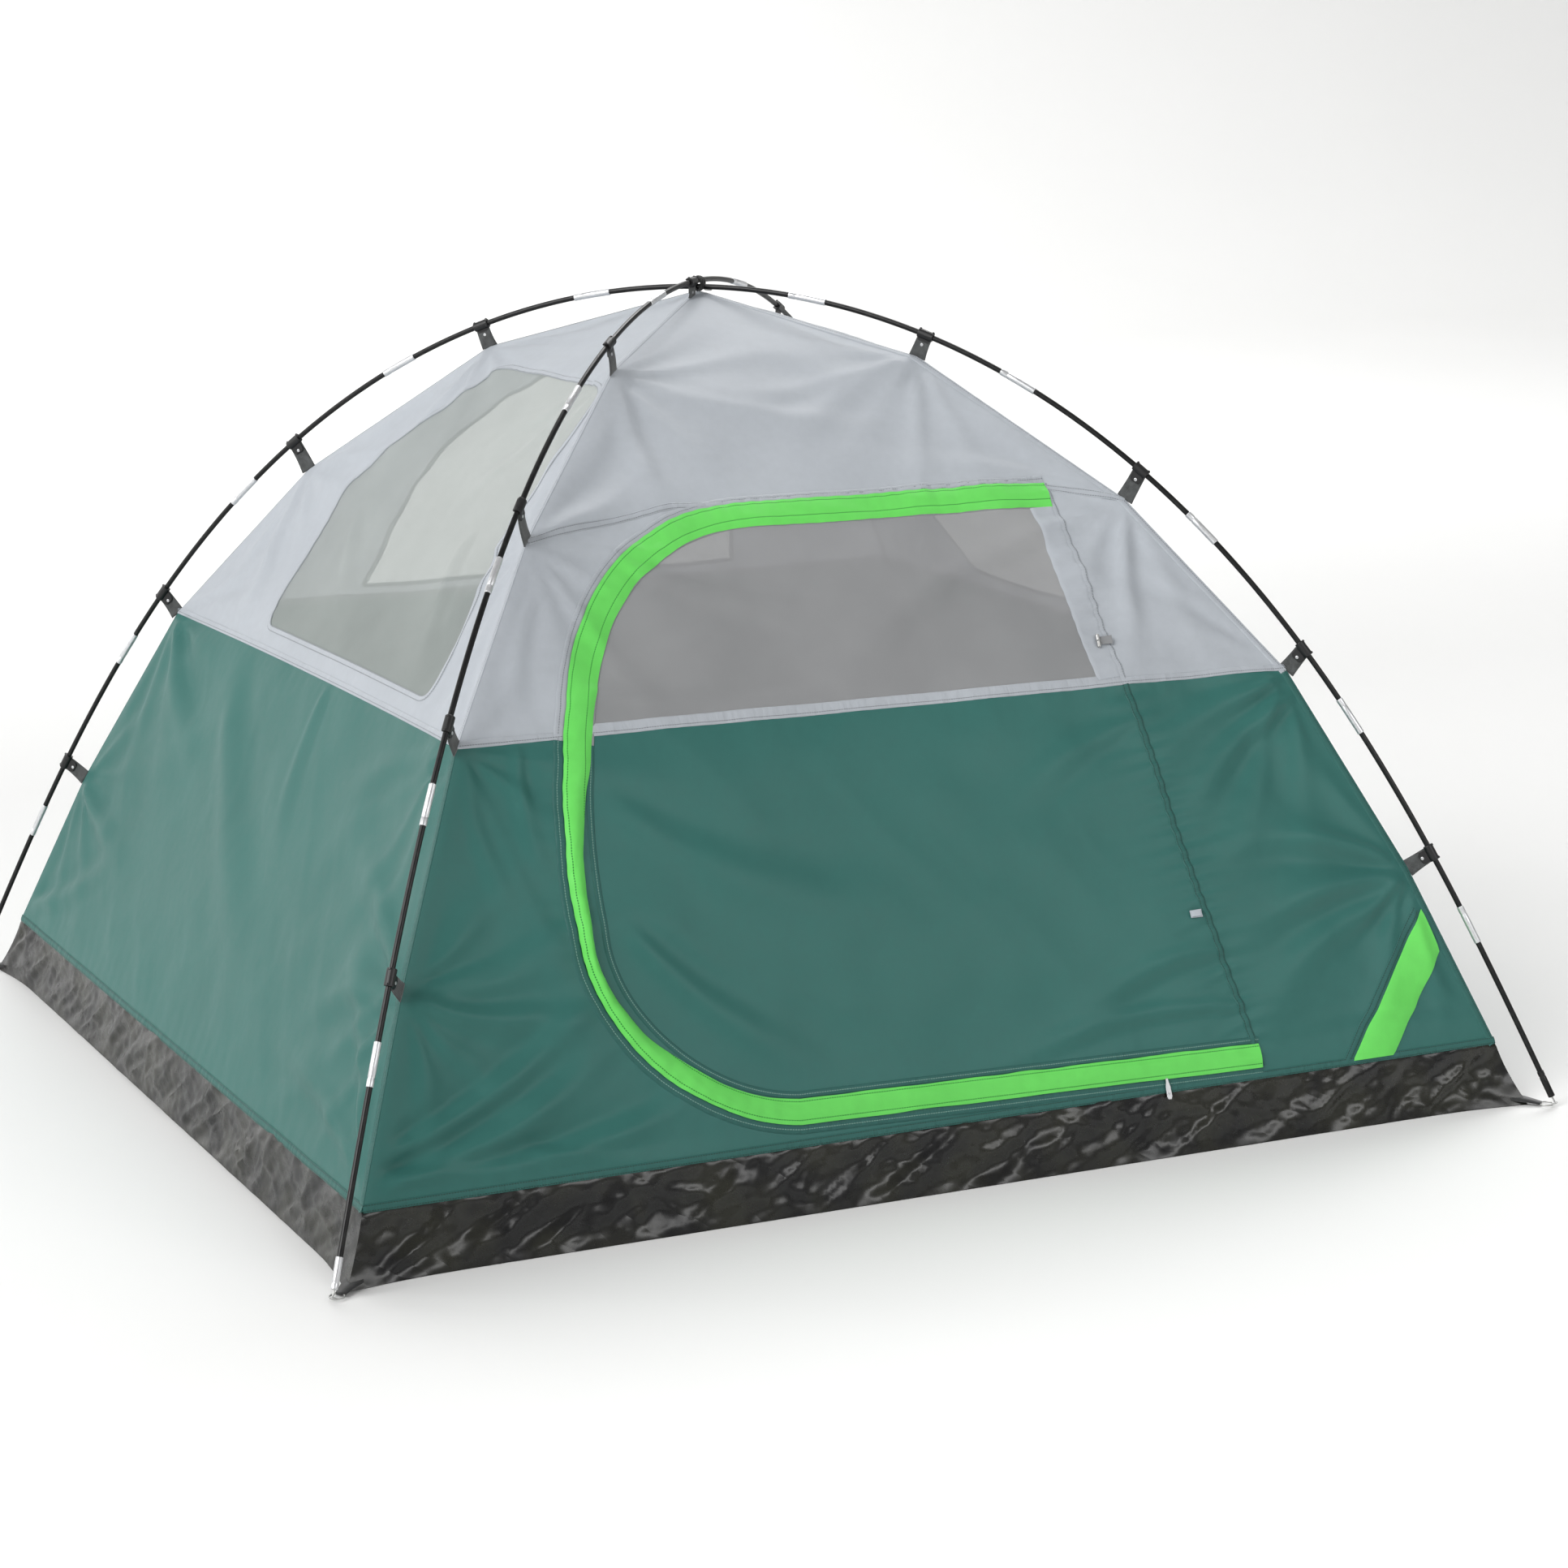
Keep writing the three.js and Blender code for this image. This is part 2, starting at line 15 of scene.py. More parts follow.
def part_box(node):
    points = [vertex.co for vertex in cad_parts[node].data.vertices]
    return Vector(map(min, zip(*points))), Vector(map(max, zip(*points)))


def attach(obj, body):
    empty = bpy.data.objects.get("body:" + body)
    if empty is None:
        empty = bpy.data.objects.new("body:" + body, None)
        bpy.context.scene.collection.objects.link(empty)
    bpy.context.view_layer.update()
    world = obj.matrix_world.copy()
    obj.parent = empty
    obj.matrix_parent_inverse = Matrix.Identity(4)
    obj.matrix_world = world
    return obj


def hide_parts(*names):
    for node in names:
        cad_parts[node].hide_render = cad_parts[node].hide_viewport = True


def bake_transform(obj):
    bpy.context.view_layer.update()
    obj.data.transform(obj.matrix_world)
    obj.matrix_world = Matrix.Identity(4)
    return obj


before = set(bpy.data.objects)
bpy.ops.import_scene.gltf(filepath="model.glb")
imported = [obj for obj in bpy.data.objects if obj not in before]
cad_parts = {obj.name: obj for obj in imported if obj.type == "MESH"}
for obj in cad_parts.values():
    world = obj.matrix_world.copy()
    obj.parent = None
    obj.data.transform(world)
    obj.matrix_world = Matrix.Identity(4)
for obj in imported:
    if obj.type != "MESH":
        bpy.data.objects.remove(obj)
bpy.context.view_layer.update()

# ---- driving dimensions, as in the CAD model ----

ROOT2 = math.sqrt(2)
TIP = 1.05  # half the distance between neighbouring pole tips
CROSSING_Z = 1.309
POLE_LIFT = 0.0105
END_ANGLE = math.radians(62.5)
ROD_R = 0.0045
SLEEVE_R = 0.0056
SLEEVE_LENGTH = 0.066
SECTION_PITCH = 0.392
SECTIONS = 11
END_SLEEVE = 0.046
POLE_END_Z = 0.017

RIDGE_Z = np.array([0, 0.100, 0.383, 0.701, 0.973, 1.199, 1.302])
RIDGE_OUT = np.array([1.0, 0.977, 0.870, 0.723, 0.528, 0.275, 0])
TUB_Z = RIDGE_Z[1]
PEAK_Z = RIDGE_Z[-1]

CLIP_AT = [0.2719, 0.5211, 0.7075, 0.854]  # shares of a pole's half span, from the top
APEX_CLIP_AT = 0.022

DOOR_TOP = 1.003
DOOR_LEFT = -0.585
DOOR_BELLY_Z = 0.430
DOOR_CURVE_TOP = -0.150
DOOR_CURVE_FOOT = (-0.280, 0.131)
HINGE = [(0.396, 1.010), (0.421, 0.701), (0.470, 0.383), (0.530, 0.116)]
ZIP_CHANNEL = 0.010
FLAP_WIDTH = 0.037

SIDE_WINDOW = [(0.295, 1.178), (-0.165, 1.178), (-0.328, 0.972), (-0.300, 0.735),
               (0.512, 0.735), (0.505, 0.800)]
ARCH_SILL_Z = 0.728
ARCH_HALF = 0.375
ARCH_TOP_Z = 1.165

RING_AT = 1.038
RING_R = 0.011
WALL_TURNS = {"front": 0, "left": -90, "right": 90, "back": 180}
CORNERS = {"near": ("upper", -1), "back": ("upper", 1), "left": ("lower", -1), "right": ("lower", 1)}

CLOTH_STEP = 0.0105  # spacing of a panel's mesh
FRONT_STEP = 0.008  # and of the cloth beside the zip
DOOR_STEP = 0.009
TUB_STEP = 0.0065  # and of the groundsheet's raised edge
EDGE_STEP = 0.02  # spacing of points along a panel's edge
ZIP_STEP = 0.012
WINDOW_STEP = 0.015
RIBBON_STEP = 0.006
TOOTH_PITCH = 0.0016
NEAR = 1e-4  # closer to a level than this is on it
SEAM_ALLOWANCE = 0.015  # cloth turned under along each edge of a cut panel
FLAP_ALLOWANCE = 0.002  # and of the flap and the stripe


# ---- smooth noise ----

def lattice(ix, iy, seed):
    """A number from -1 to 1 for each point of a square lattice."""
    n = (ix.astype(np.int64) * 374761393 + iy.astype(np.int64) * 668265263 + seed * 974634777)
    n = n & 0xFFFFFFFF
    n = ((n ^ (n >> 13)) * 1274126177) & 0xFFFFFFFF
    return ((n ^ (n >> 16)) & 0xFFFF) / 32767.5 - 1


def noise(x, y, seed=0):
    """Smooth value noise with features about 1 across."""
    ix, iy = np.floor(x), np.floor(y)
    fx, fy = x - ix, y - iy
    ux = fx * fx * fx * (fx * (fx * 6 - 15) + 10)
    uy = fy * fy * fy * (fy * (fy * 6 - 15) + 10)
    low = lattice(ix, iy, seed) * (1 - ux) + lattice(ix + 1, iy, seed) * ux
    high = lattice(ix, iy + 1, seed) * (1 - ux) + lattice(ix + 1, iy + 1, seed) * ux
    return low * (1 - uy) + high * uy


def folds(x, y, seed=0, octaves=3):
    """Sharp-crested noise from 0 to 1, like creased cloth."""
    total, size = 0, 1.0
    for k in range(octaves):
        total = total + size * (1 - np.abs(noise(x * 2 ** k, y * 2 ** k, seed + 17 * k))) ** 2
        size /= 2
    return total / (2 - 2 ** (1 - octaves))


def smoothstep(low, high, x):
    """From 0 at low to 1 at high, which may be the smaller of the two."""
    t = np.clip((x - low) / (high - low), 0, 1)
    return t * t * (3 - 2 * t)


def bell(x, middle, width):
    """A smooth hump, 1 at its middle."""
    return np.exp(-((x - middle) / width) ** 2)


def unit(p):
    return p / np.linalg.norm(p, axis=-1, keepdims=True)


def lengths_of(line):
    """How far along a polyline each of its points lies."""
    return np.concatenate([[0], np.cumsum(np.hypot(*np.diff(line, axis=0).T))])


# ---- the wall surface ----

RIDGE_V = lengths_of(np.stack([RIDGE_Z, RIDGE_OUT], 1))
PEAK_V = RIDGE_V[-1]
_v = np.linspace(-0.5, PEAK_V + 0.5, 6001)


def _along(values):
    """A ridge profile over _v, run on in a straight line past both ends."""
    low = (values[1] - values[0]) / (RIDGE_V[1] - RIDGE_V[0])
    high = (values[-1] - values[-2]) / (RIDGE_V[-1] - RIDGE_V[-2])
    inner = np.interp(_v, RIDGE_V, values)
    inner = np.where(_v < 0, values[0] + low * _v, inner)
    return np.where(_v > PEAK_V, values[-1] + high * (_v - PEAK_V), inner)


_step = _v[1] - _v[0]
_out_sum = np.cumsum(_along(RIDGE_OUT)) * _step
_z_sum = np.cumsum(_along(RIDGE_Z)) * _step


def v_of(z):
    return np.interp(z, RIDGE_Z, RIDGE_V)


def ridge_half(v):
    """The wall's half width at v, where it meets its neighbours."""
    return np.interp(v, RIDGE_V, RIDGE_OUT)


def mean_over(table, v, reach):
    return (np.interp(v + reach, _v, table) - np.interp(v - reach, _v, table)) / (2 * reach)


def base_point(a, v):
    """(a, out, z) of the taut cloth: straight-sided at the ridges, rounded and drawn in between."""
    half = np.maximum(ridge_half(v), 1e-4)
    middle = np.clip(1 - (a / half) ** 2, 0, 1)
    reach = 0.11 * middle ** 0.7
    reach = np.minimum(reach, 0.35 * np.maximum(v - 0.02, 0))
    reach = np.minimum(reach, 0.5 * np.maximum(PEAK_V - v, 0)) + 1e-4
    sag = 0.012 * middle * np.sin(np.pi * np.clip((v - 0.1) / (PEAK_V - 0.1), 0, 1))
    return a, mean_over(_out_sum, v, reach) - sag, mean_over(_z_sum, v, reach)


def near_line(a, v, line):
    """Distance to a polyline in the wall's own plane, and how far along it the nearest point is."""
    line = np.asarray(line, float)
    best = np.full(a.shape, 9.0)
    place = np.zeros(a.shape)
    start = 0.0
    for (ax, ay), (bx, by) in zip(line[:-1], line[1:]):
        dx, dy = bx - ax, by - ay
        length = math.hypot(dx, dy)
        if length < 1e-9:
            continue
        t = np.clip(((a - ax) * dx + (v - ay) * dy) / length ** 2, 0, 1)
        gap = np.hypot(a - ax - t * dx, v - ay - t * dy)
        closer = gap < best
        best = np.where(closer, gap, best)
        place = np.where(closer, start + t * length, place)
        start += length
    return best, place


# Where the cloth is pulled: at each clip and at the groundsheet's corners.
ANCHORS = [(side * RIDGE_OUT[i], RIDGE_V[i]) for i in (1, 2, 3, 4, 5) for side in (-1, 1)]

# Folds of each wall: where one starts (a, z) and ends (a, z), its half width and its height.
FRONT_FOLDS = [
    (-0.95, 0.125, -0.56, 0.27, 0.018, 0.01), (-0.93, 0.135, -0.44, 0.185, 0.014, 0.0085),
    (-0.92, 0.17, -0.54, 0.365, 0.016, 0.006), (-0.88, 0.375, -0.6, 0.41, 0.016, 0.005),
    (-0.87, 0.37, -0.58, 0.315, 0.017, 0.0055), (-0.72, 0.15, -0.3, 0.118, 0.01, 0.0035),
    (-0.72, 0.69, -0.66, 0.43, 0.016, 0.0045), (-0.63, 0.69, -0.615, 0.5, 0.012, 0.0035),
    (-0.6, 0.93, -0.69, 0.73, 0.016, 0.0045), (-0.54, 0.9, -0.62, 0.73, 0.012, 0.0035),
    (-0.27, 1.2, -0.285, 1.02, 0.016, 0.0055), (0.28, 1.2, -0.06, 1.06, 0.022, 0.005),
    (-0.22, 1.17, 0.2, 1.1, 0.018, 0.0035), (0.53, 0.97, 0.16, 1.05, 0.015, 0.0045),
    (-0.53, 0.97, -0.22, 1.1, 0.02, 0.005), (0.53, 0.96, 0.465, 0.74, 0.014, 0.004),
    (0.71, 0.72, 0.455, 0.9, 0.014, 0.0035), (0.72, 0.69, 0.455, 0.6, 0.016, 0.0055),
    (0.73, 0.67, 0.475, 0.49, 0.018, 0.006), (0.87, 0.39, 0.5, 0.455, 0.017, 0.0055),
    (0.87, 0.37, 0.515, 0.31, 0.018, 0.006), (0.86, 0.36, 0.54, 0.2, 0.02, 0.0055),
    (0.94, 0.15, 0.56, 0.155, 0.012, 0.002), (0.4, 0.64, 0.16, 0.53, 0.018, 0.003),
    (-0.5, 0.6, -0.05, 0.4, 0.03, 0.004), (0.49, 0.3, 0.2, 0.22, 0.016, 0.0045),
    (0.51, 0.21, 0.05, 0.165, 0.013, 0.0045), (-0.5, 0.42, -0.22, 0.2, 0.02, 0.0045),
    (-0.38, 0.93, 0.1, 0.8, 0.02, 0.004), (0.36, 0.93, -0.1, 0.74, 0.022, 0.004),
    (-0.48, 0.76, -0.05, 0.73, 0.012, 0.003),
]
SIDE_FOLDS = [
    (0.95, 0.13, 0.62, 0.42, 0.02, 0.007), (0.96, 0.125, 0.4, 0.22, 0.02, 0.0065),
    (0.87, 0.38, 0.45, 0.52, 0.02, 0.0055), (0.87, 0.37, 0.52, 0.27, 0.018, 0.0055),
    (0.72, 0.69, 0.3, 0.55, 0.02, 0.0045), (-0.3, 0.62, 0.42, 0.2, 0.045, 0.007),
    (-0.72, 0.69, -0.25, 0.47, 0.024, 0.0055), (-0.87, 0.38, -0.48, 0.3, 0.02, 0.0055),
    (-0.96, 0.13, -0.55, 0.3, 0.02, 0.006), (0.1, 0.69, 0.16, 0.45, 0.016, 0.0035),
    (-0.53, 0.97, -0.4, 0.75, 0.012, 0.004), (-0.72, 0.71, -0.44, 0.86, 0.013, 0.0045),
    (-0.28, 1.2, -0.05, 1.22, 0.012, 0.0035), (0.3, 0.95, 0.42, 0.76, 0.016, 0.0045),
    (-0.2, 0.92, 0.08, 0.76, 0.018, 0.004),
]
FOLD_DEPTH = 1.3
FOOT_FAN = 0.0038  # height of the folds that fan out from a corner of the groundsheet
CLIP_FAN = 0.0088  # and from a clip
FAN_REACH = 0.27

# Creases of the groundsheet's edge: angle in degrees, length, pitch and height.
TUB_CREASES = ((33, 0.19, 0.042, 0.0105), (-18, 0.13, 0.036, 0.0055), (60, 0.05, 0.02, 0.002))


def laid_folds(wall, a, v):
    """The height of the listed folds, each with a hollow along one side."""
    lift = 0 * a
    mirrored = -1 if wall == "right" else 1
    for a0, z0, a1, z1, half, height in FRONT_FOLDS if wall == "front" else SIDE_FOLDS:
        (ax, ay), (bx, by) = on_cloth([(a0, z0), (a1, z1)])
        ax, bx = mirrored * ax, mirrored * bx
        dx, dy = bx - ax, by - ay
        length = math.hypot(dx, dy)
        t = ((a - ax) * dx + (v - ay) * dy) / length ** 2
        share = np.clip(t, 0, 1)
        side = ((v - ay) * dx - (a - ax) * dy) / length + 0.06 * length * np.sin(np.pi * share)
        wide = half * (0.7 + 0.9 * share)
        crest = bell(side, 0, wide) - 0.55 * bell(side, 1.7 * wide, wide)
        lift = lift + FOLD_DEPTH * height * crest * smoothstep(-0.08, 0.1, t) * smoothstep(1.12, 0.45, t)
    return lift


def wall_relief(wall, a, v):
    """How far the cloth stands off its taut surface: pull folds, seam puckers and slack."""
    seed = 31 * list(WALL_TURNS).index(wall)
    lift = 0.0055 * noise(a * 2.6 + 5, v * 3.1, seed)
    lift = lift + 0.0030 * (folds(a * 4 + v * 3, v * 3.2 - a * 1.8, seed + 3, 2) - 0.5)
    lift = lift + 0.0016 * noise(a * 11 + v * 9, v * 9 - a * 7, seed + 4)
    lift = lift + laid_folds(wall, a, v)
    for i, (pa, pv) in enumerate(ANCHORS):
        dx, dy = a - pa, v - pv
        r = np.hypot(dx, dy)
        turn = np.arctan2(dy, -math.copysign(1, pa) * dx)
        wave = np.cos(12 * turn + 2.3 * i + 1.8 * noise(r * 4, turn * 2, seed + i))
        sharp = wave * (0.75 + 0.25 * wave)
        lift = lift + (FOOT_FAN if i < 2 else CLIP_FAN) * sharp * np.exp(-r / FAN_REACH) * r / (r + 0.09)
    for line, size, pitch, reach in wall_seams(wall):
        gap, place = near_line(a, v, line)
        phase = 2 * np.pi * place / pitch + 2.5 * noise(place * 9, gap * 10, seed + 9)
        swell = 0.6 + 0.4 * noise(place * 5, gap * 0 + 3.3, seed + 11)
        lift = lift + size * swell * np.cos(phase) * np.exp(-gap / reach)
    edge = smoothstep(0, 0.05, ridge_half(v) - np.abs(a))
    gap = np.abs(v - V_TUB)
    foot = 0.25 + 0.75 * smoothstep(0.012, 0.07, gap)
    if wall == "front":
        level_zip = 0.1 + 0.9 * smoothstep(0.020, 0.085, gap)
        foot = foot + (level_zip - foot) * smoothstep(-0.5, -0.38, a)
    return lift * edge * foot


def tub_relief(wall, a, v):
    """The groundsheet's raised edge: stiff coated cloth, creased and bulging."""
    seed = 101 + 31 * list(WALL_TURNS).index(wall)
    across = np.sin(np.pi * np.clip(v / V_TUB, 0, 1))
    lift = 0.005 * across * noise(a * 3.3, v * 2, seed + 2)
    for angle, length, pitch, size in TUB_CREASES:
        c, s = math.cos(math.radians(angle)), math.sin(math.radians(angle))
        along, over = a * c + v * s, v * c - a * s
        crease = folds(along / length, over / pitch, seed + angle, 2) - 0.5
        lift = lift + size * crease * (0.45 + 0.55 * across)
    corner = smoothstep(0, 0.05, ridge_half(v) - np.abs(a))
    ground = smoothstep(0, 0.02, v)
    return lift * corner * (0.3 + 0.7 * ground)


def surface(wall, a, v, lift=0.0, relief=wall_relief):
    """Points of a wall in the object's frame, off its taut cloth by its relief and lift."""
    a, v = np.asarray(a, float), np.asarray(v, float)
    h = 0.002
    p = np.stack(base_point(a, v), -1)
    da = np.stack(base_point(a + h, v), -1) - p
    dv = np.stack(base_point(a, v + h), -1) - p
    n = np.cross(dv, da)
    n /= np.maximum(np.linalg.norm(n, axis=-1, keepdims=True), 1e-12)
    n = np.where(n[..., 1:2] < 0, -n, n)
    p = p + n * (relief(wall, a, v) + lift)[..., None]
    turn = math.radians(WALL_TURNS[wall])
    x, y, z = p[..., 0], -p[..., 1], p[..., 2]
    c, s = math.cos(turn), math.sin(turn)
    return np.stack([c * x - s * y, s * x + c * y, z], -1)


# ---- outlines on a wall, in (a, v) ----

def on_cloth(points):
    return [(a, float(v_of(z))) for a, z in points]


def resample(points, step):
    """The polyline with each stretch cut into equal steps."""
    made = [tuple(points[0])]
    for (ax, ay), (bx, by) in zip(points[:-1], points[1:]):
        count = max(1, math.ceil(math.hypot(bx - ax, by - ay) / step))
        made += [(ax + (bx - ax) * i / count, ay + (by - ay) * i / count) for i in range(1, count + 1)]
    return made


def bezier(points, count):
    p = np.asarray(points, float)
    t = np.linspace(0, 1, count + 1)[:, None]
    q = (1 - t) ** 3 * p[0] + 3 * (1 - t) ** 2 * t * p[1] + 3 * (1 - t) * t * t * p[2] + t ** 3 * p[3]
    return [tuple(r) for r in q]


def hinge_x(z):
    """Where the hinge seam lies at height z."""
    xs, zs = zip(*HINGE[::-1])
    return float(np.interp(z, zs, xs))


def foot_z(x):
    """The height of the zip's straight foot at x."""
    (x0, z0), (x1, z1) = DOOR_CURVE_FOOT, HINGE[-1]
    return z0 + (x - x0) / (x1 - x0) * (z1 - z0)


def zip_line():
    """The zip's path round the door, from the top of the hinge seam to its foot."""
    belly = (DOOR_LEFT, DOOR_BELLY_Z)
    top = bezier([(DOOR_CURVE_TOP, DOOR_TOP), (-0.470, DOOR_TOP), (-0.590, 0.740), belly], 60)
    foot = bezier([belly, (-0.590, 0.300), (-0.460, 0.150), DOOR_CURVE_FOOT], 44)
    line = [(hinge_x(DOOR_TOP), DOOR_TOP), *top, *foot[1:], (hinge_x(HINGE[-1][1]), HINGE[-1][1])]
    return on_cloth(line)


ZIP = resample(zip_line(), ZIP_STEP)


def moved(line, distance):
    """A polyline moved to its left by a distance, or by one distance for each point."""
    p = np.asarray(line, float)
    t = unit(np.gradient(p, axis=0))
    return p + np.stack([-t[:, 1], t[:, 0]], 1) * np.reshape(distance, (-1, 1))


def hinge_line(step=ZIP_STEP):
    top = (hinge_x(DOOR_TOP), DOOR_TOP)
    return resample(on_cloth([top, *HINGE[1:]]), step)


def ridge_line(side, low, high, step=EDGE_STEP):
    """One ridge of a wall between two values of v, going up."""
    inner = [v for v in RIDGE_V if low + 1e-6 < v < high - 1e-6]
    return resample([(side * float(ridge_half(v)), v) for v in (low, *inner, high)], step)


def level(v, side_from, side_to, step=EDGE_STEP):
    half = float(ridge_half(v))
    return resample([(side_from * half, v), (side_to * half, v)], step)


def arch_line():
    rise = ARCH_TOP_Z - ARCH_SILL_Z
    right = bezier([(ARCH_HALF, ARCH_SILL_Z), (0.83 * ARCH_HALF, ARCH_SILL_Z + 0.46 * rise),
                    (0.77 * ARCH_HALF, ARCH_TOP_Z), (0, ARCH_TOP_Z)], 30)
    return on_cloth([*right, *[(-a, z) for a, z in right[-2::-1]]])


def window_line(wall):
    if wall == "back":
        return arch_line()
    sign = 1 if wall == "left" else -1
    return rounded([(sign * a, v) for a, v in on_cloth(SIDE_WINDOW)], 0.035)


def rounded(corners, radius):
    """A closed outline with its corners cut by short curves."""
    made = []
    count = len(corners)
    for i in range(count):
        p = np.array(corners[i])
        before = np.array(corners[i - 1]) - p
        after = np.array(corners[(i + 1) % count]) - p
        start = p + before * min(0.45, radius / np.linalg.norm(before))
        end = p + after * min(0.45, radius / np.linalg.norm(after))
        for t in np.linspace(0, 1, 6):
            made.append(tuple((1 - t) ** 2 * start + 2 * (1 - t) * t * p + t * t * end))
    return made


V_TUB = RIDGE_V[1]
V_SEAM = RIDGE_V[3]
V_BEND = RIDGE_V[4]

SPINE = hinge_line()
SPINE_ABOVE = [p for p in SPINE if p[1] > V_SEAM + NEAR]
SPINE_BELOW = [p for p in SPINE if p[1] < V_SEAM - NEAR]


def spine_a(v):
    """Where the hinge seam lies at v."""
    return np.interp(-v, [-q[1] for q in SPINE], [q[0] for q in SPINE])


SEAM_END = (float(spine_a(V_SEAM)), V_SEAM)


def wall_seams(wall):
    """(line, pucker height, pucker length, reach) for each seam that draws the cloth in."""
    seams = [
        ([(-1, V_SEAM), (1, V_SEAM)], 0.0006, 0.031, 0.025),
        ([(-1, V_TUB), (1, V_TUB)], 0.0022, 0.045, 0.03),
    ]
    if wall == "front":
        seams += [
            (ZIP, 0.0013, 0.031, 0.026),
            (hinge_line(0.05), 0.0030, 0.029, 0.040),
            ([(-0.5, V_BEND), (0.5, V_BEND)], 0.0005, 0.03, 0.02),
        ]
    else:
        seams.append((window_line(wall), 0.0007, 0.028, 0.022))
    return seams


# ---- meshes ----

def new_object(name, data):
    obj = bpy.data.objects.new(name, data)
    bpy.context.scene.collection.objects.link(obj)
    return obj


def make(name, points, faces, material, uv=None, smooth=True):
    mesh = bpy.data.meshes.new(name)
    mesh.from_pydata([tuple(map(float, p)) for p in points], [], [tuple(f) for f in faces])
    mesh.update()
    mesh.polygons.foreach_set("use_smooth", [smooth] * len(mesh.polygons))
    if uv is not None:
        layer = mesh.uv_layers.new(name="along")
        index = np.empty(len(mesh.loops), np.int32)
        mesh.loops.foreach_get("vertex_index", index)
        layer.data.foreach_set("uv", np.asarray(uv, np.float32)[index].ravel())
    mesh.materials.append(material)
    return new_object(name, mesh)


def grid_faces(rows, columns, closed=False):
    faces = []
    for i in range(rows - 1):
        for j in range(columns if closed else columns - 1):
            k = (j + 1) % columns
            faces.append((i * columns + j, i * columns + k, (i + 1) * columns + k, (i + 1) * columns + j))
    return faces


def bar_faces(rows, count):
    """The sides and the two end faces of a bar made of rings of points."""
    last = (rows - 1) * count
    ends = [tuple(range(count))[::-1], tuple(range(last, last + count))]
    return grid_faces(rows, count, closed=True) + ends


def inside(a, v, outline):
    """Which points lie in a closed outline."""
    p = np.asarray(outline, float)
    q = np.roll(p, -1, axis=0)
    hit = np.zeros(a.shape, bool)
    for (ax, ay), (bx, by) in zip(p, q):
        if ay == by:
            continue
        crosses = (ay > v) != (by > v)
        hit ^= crosses & (a < (bx - ax) * (v - ay) / (by - ay) + ax)
    return hit


def triangulate(outline, holes, step):
    """Points and triangles that fill an outline, with its edge and its holes' edges kept."""
    loops = [outline, *holes]
    points, edges = [], []
    for loop in loops:
        start = len(points)
        points += [tuple(p) for p in loop]
        edges += [(start + i, start + (i + 1) % len(loop)) for i in range(len(loop))]
    low, high = np.min(outline, axis=0), np.max(outline, axis=0)
    xs = np.arange(low[0] + step / 2, high[0], step)
    ys = np.arange(low[1] + step / 2, high[1], step * 0.866)
    gx, gy = np.meshgrid(xs, ys)
    gx = gx + (np.arange(len(ys)) % 2)[:, None] * step / 2
    gx, gy = gx.ravel(), gy.ravel()
    keep = inside(gx, gy, outline)
    for hole in holes:
        keep &= ~inside(gx, gy, hole)
    for loop in loops:
        gap, _ = near_line(gx, gy, [*loop, loop[0]])
        keep &= gap > 0.55 * step
    points += list(zip(gx[keep], gy[keep]))
    made = delaunay_2d_cdt([Vector(p) for p in points], edges, [], 0, 1e-7)
    p = np.array([tuple(q) for q in made[0]])
    faces = np.array([f for f in made[2] if len(f) == 3])
    middle = p[faces].mean(axis=1)
    keep = inside(middle[:, 0], middle[:, 1], outline)
    for hole in holes:
        keep &= ~inside(middle[:, 0], middle[:, 1], hole)
    side = p[faces] - p[np.roll(faces, -1, axis=1)]
    longest = (side ** 2).sum(axis=2).max(axis=1)
    area = np.abs(side[:, 0, 0] * side[:, 1, 1] - side[:, 0, 1] * side[:, 1, 0])
    keep &= area > 0.01 * longest  # no slivers along a straight edge
    return p, faces[keep]


def panel(name, wall, outline, material, holes=(), step=CLOTH_STEP, lift=0.0):
    """A sewn panel of one wall, cut to an outline in (a, v)."""
    p, faces = triangulate(outline, holes, step)
    points = surface(wall, p[:, 0], p[:, 1], lift)
    obj = make(name, points, faces, material, uv=p)
    obj["cut"] = [float(x) for x in np.ptp(p, axis=0)]
    return obj


def ribbon(name, wall, line, offsets, lifts, material):
    """A strip that follows a line on a wall. offsets and lifts are one number per strand,
    or one row of them per point of the line."""
    line = np.asarray(line, float)
    offsets = np.broadcast_to(np.asarray(offsets, float), (len(line), np.shape(offsets)[-1]))
    lifts = np.broadcast_to(np.asarray(lifts, float), offsets.shape)
    p = np.stack([moved(line, strand) for strand in offsets.T], 1)
    points = surface(wall, p[..., 0], p[..., 1], lifts)
    along = lengths_of(line)
    uv = np.stack(np.broadcast_arrays(along[:, None], offsets), -1)
    faces = grid_faces(*offsets.shape)
    obj = make(name, points.reshape(-1, 3), faces, material, uv.reshape(-1, 2))
    obj["cut"] = [float(along[-1]), float(np.max(offsets[:, -1]) - np.min(offsets[:, 0]))]
    return obj


def trim(obj, slot, *nodes, body="tent"):
    """Rides a piece on its body, or bakes its place into its mesh where it is the door's."""
    if body == "door":
        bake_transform(obj)
    else:
        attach(obj, body)
    if nodes:
        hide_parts(*nodes)
    return obj


def declare(obj, slot, *nodes, sewn=(), body="tent", held="stretched", turned=SEAM_ALLOWANCE):
    trim(obj, slot, *nodes, body=body)


# ---- materials ----

STITCH_PITCH = 0.0042


def linear(r, g, b):
    """An sRGB colour of 0 to 255 as linear light."""
    shares = (c / 255 for c in (r, g, b))
    return (*(c / 12.92 if c <= 0.04045 else ((c + 0.055) / 1.055) ** 2.4 for c in shares), 1)


def tinted(colour, by):
    return (colour[0] * by, colour[1] * by, colour[2] * by, 1)


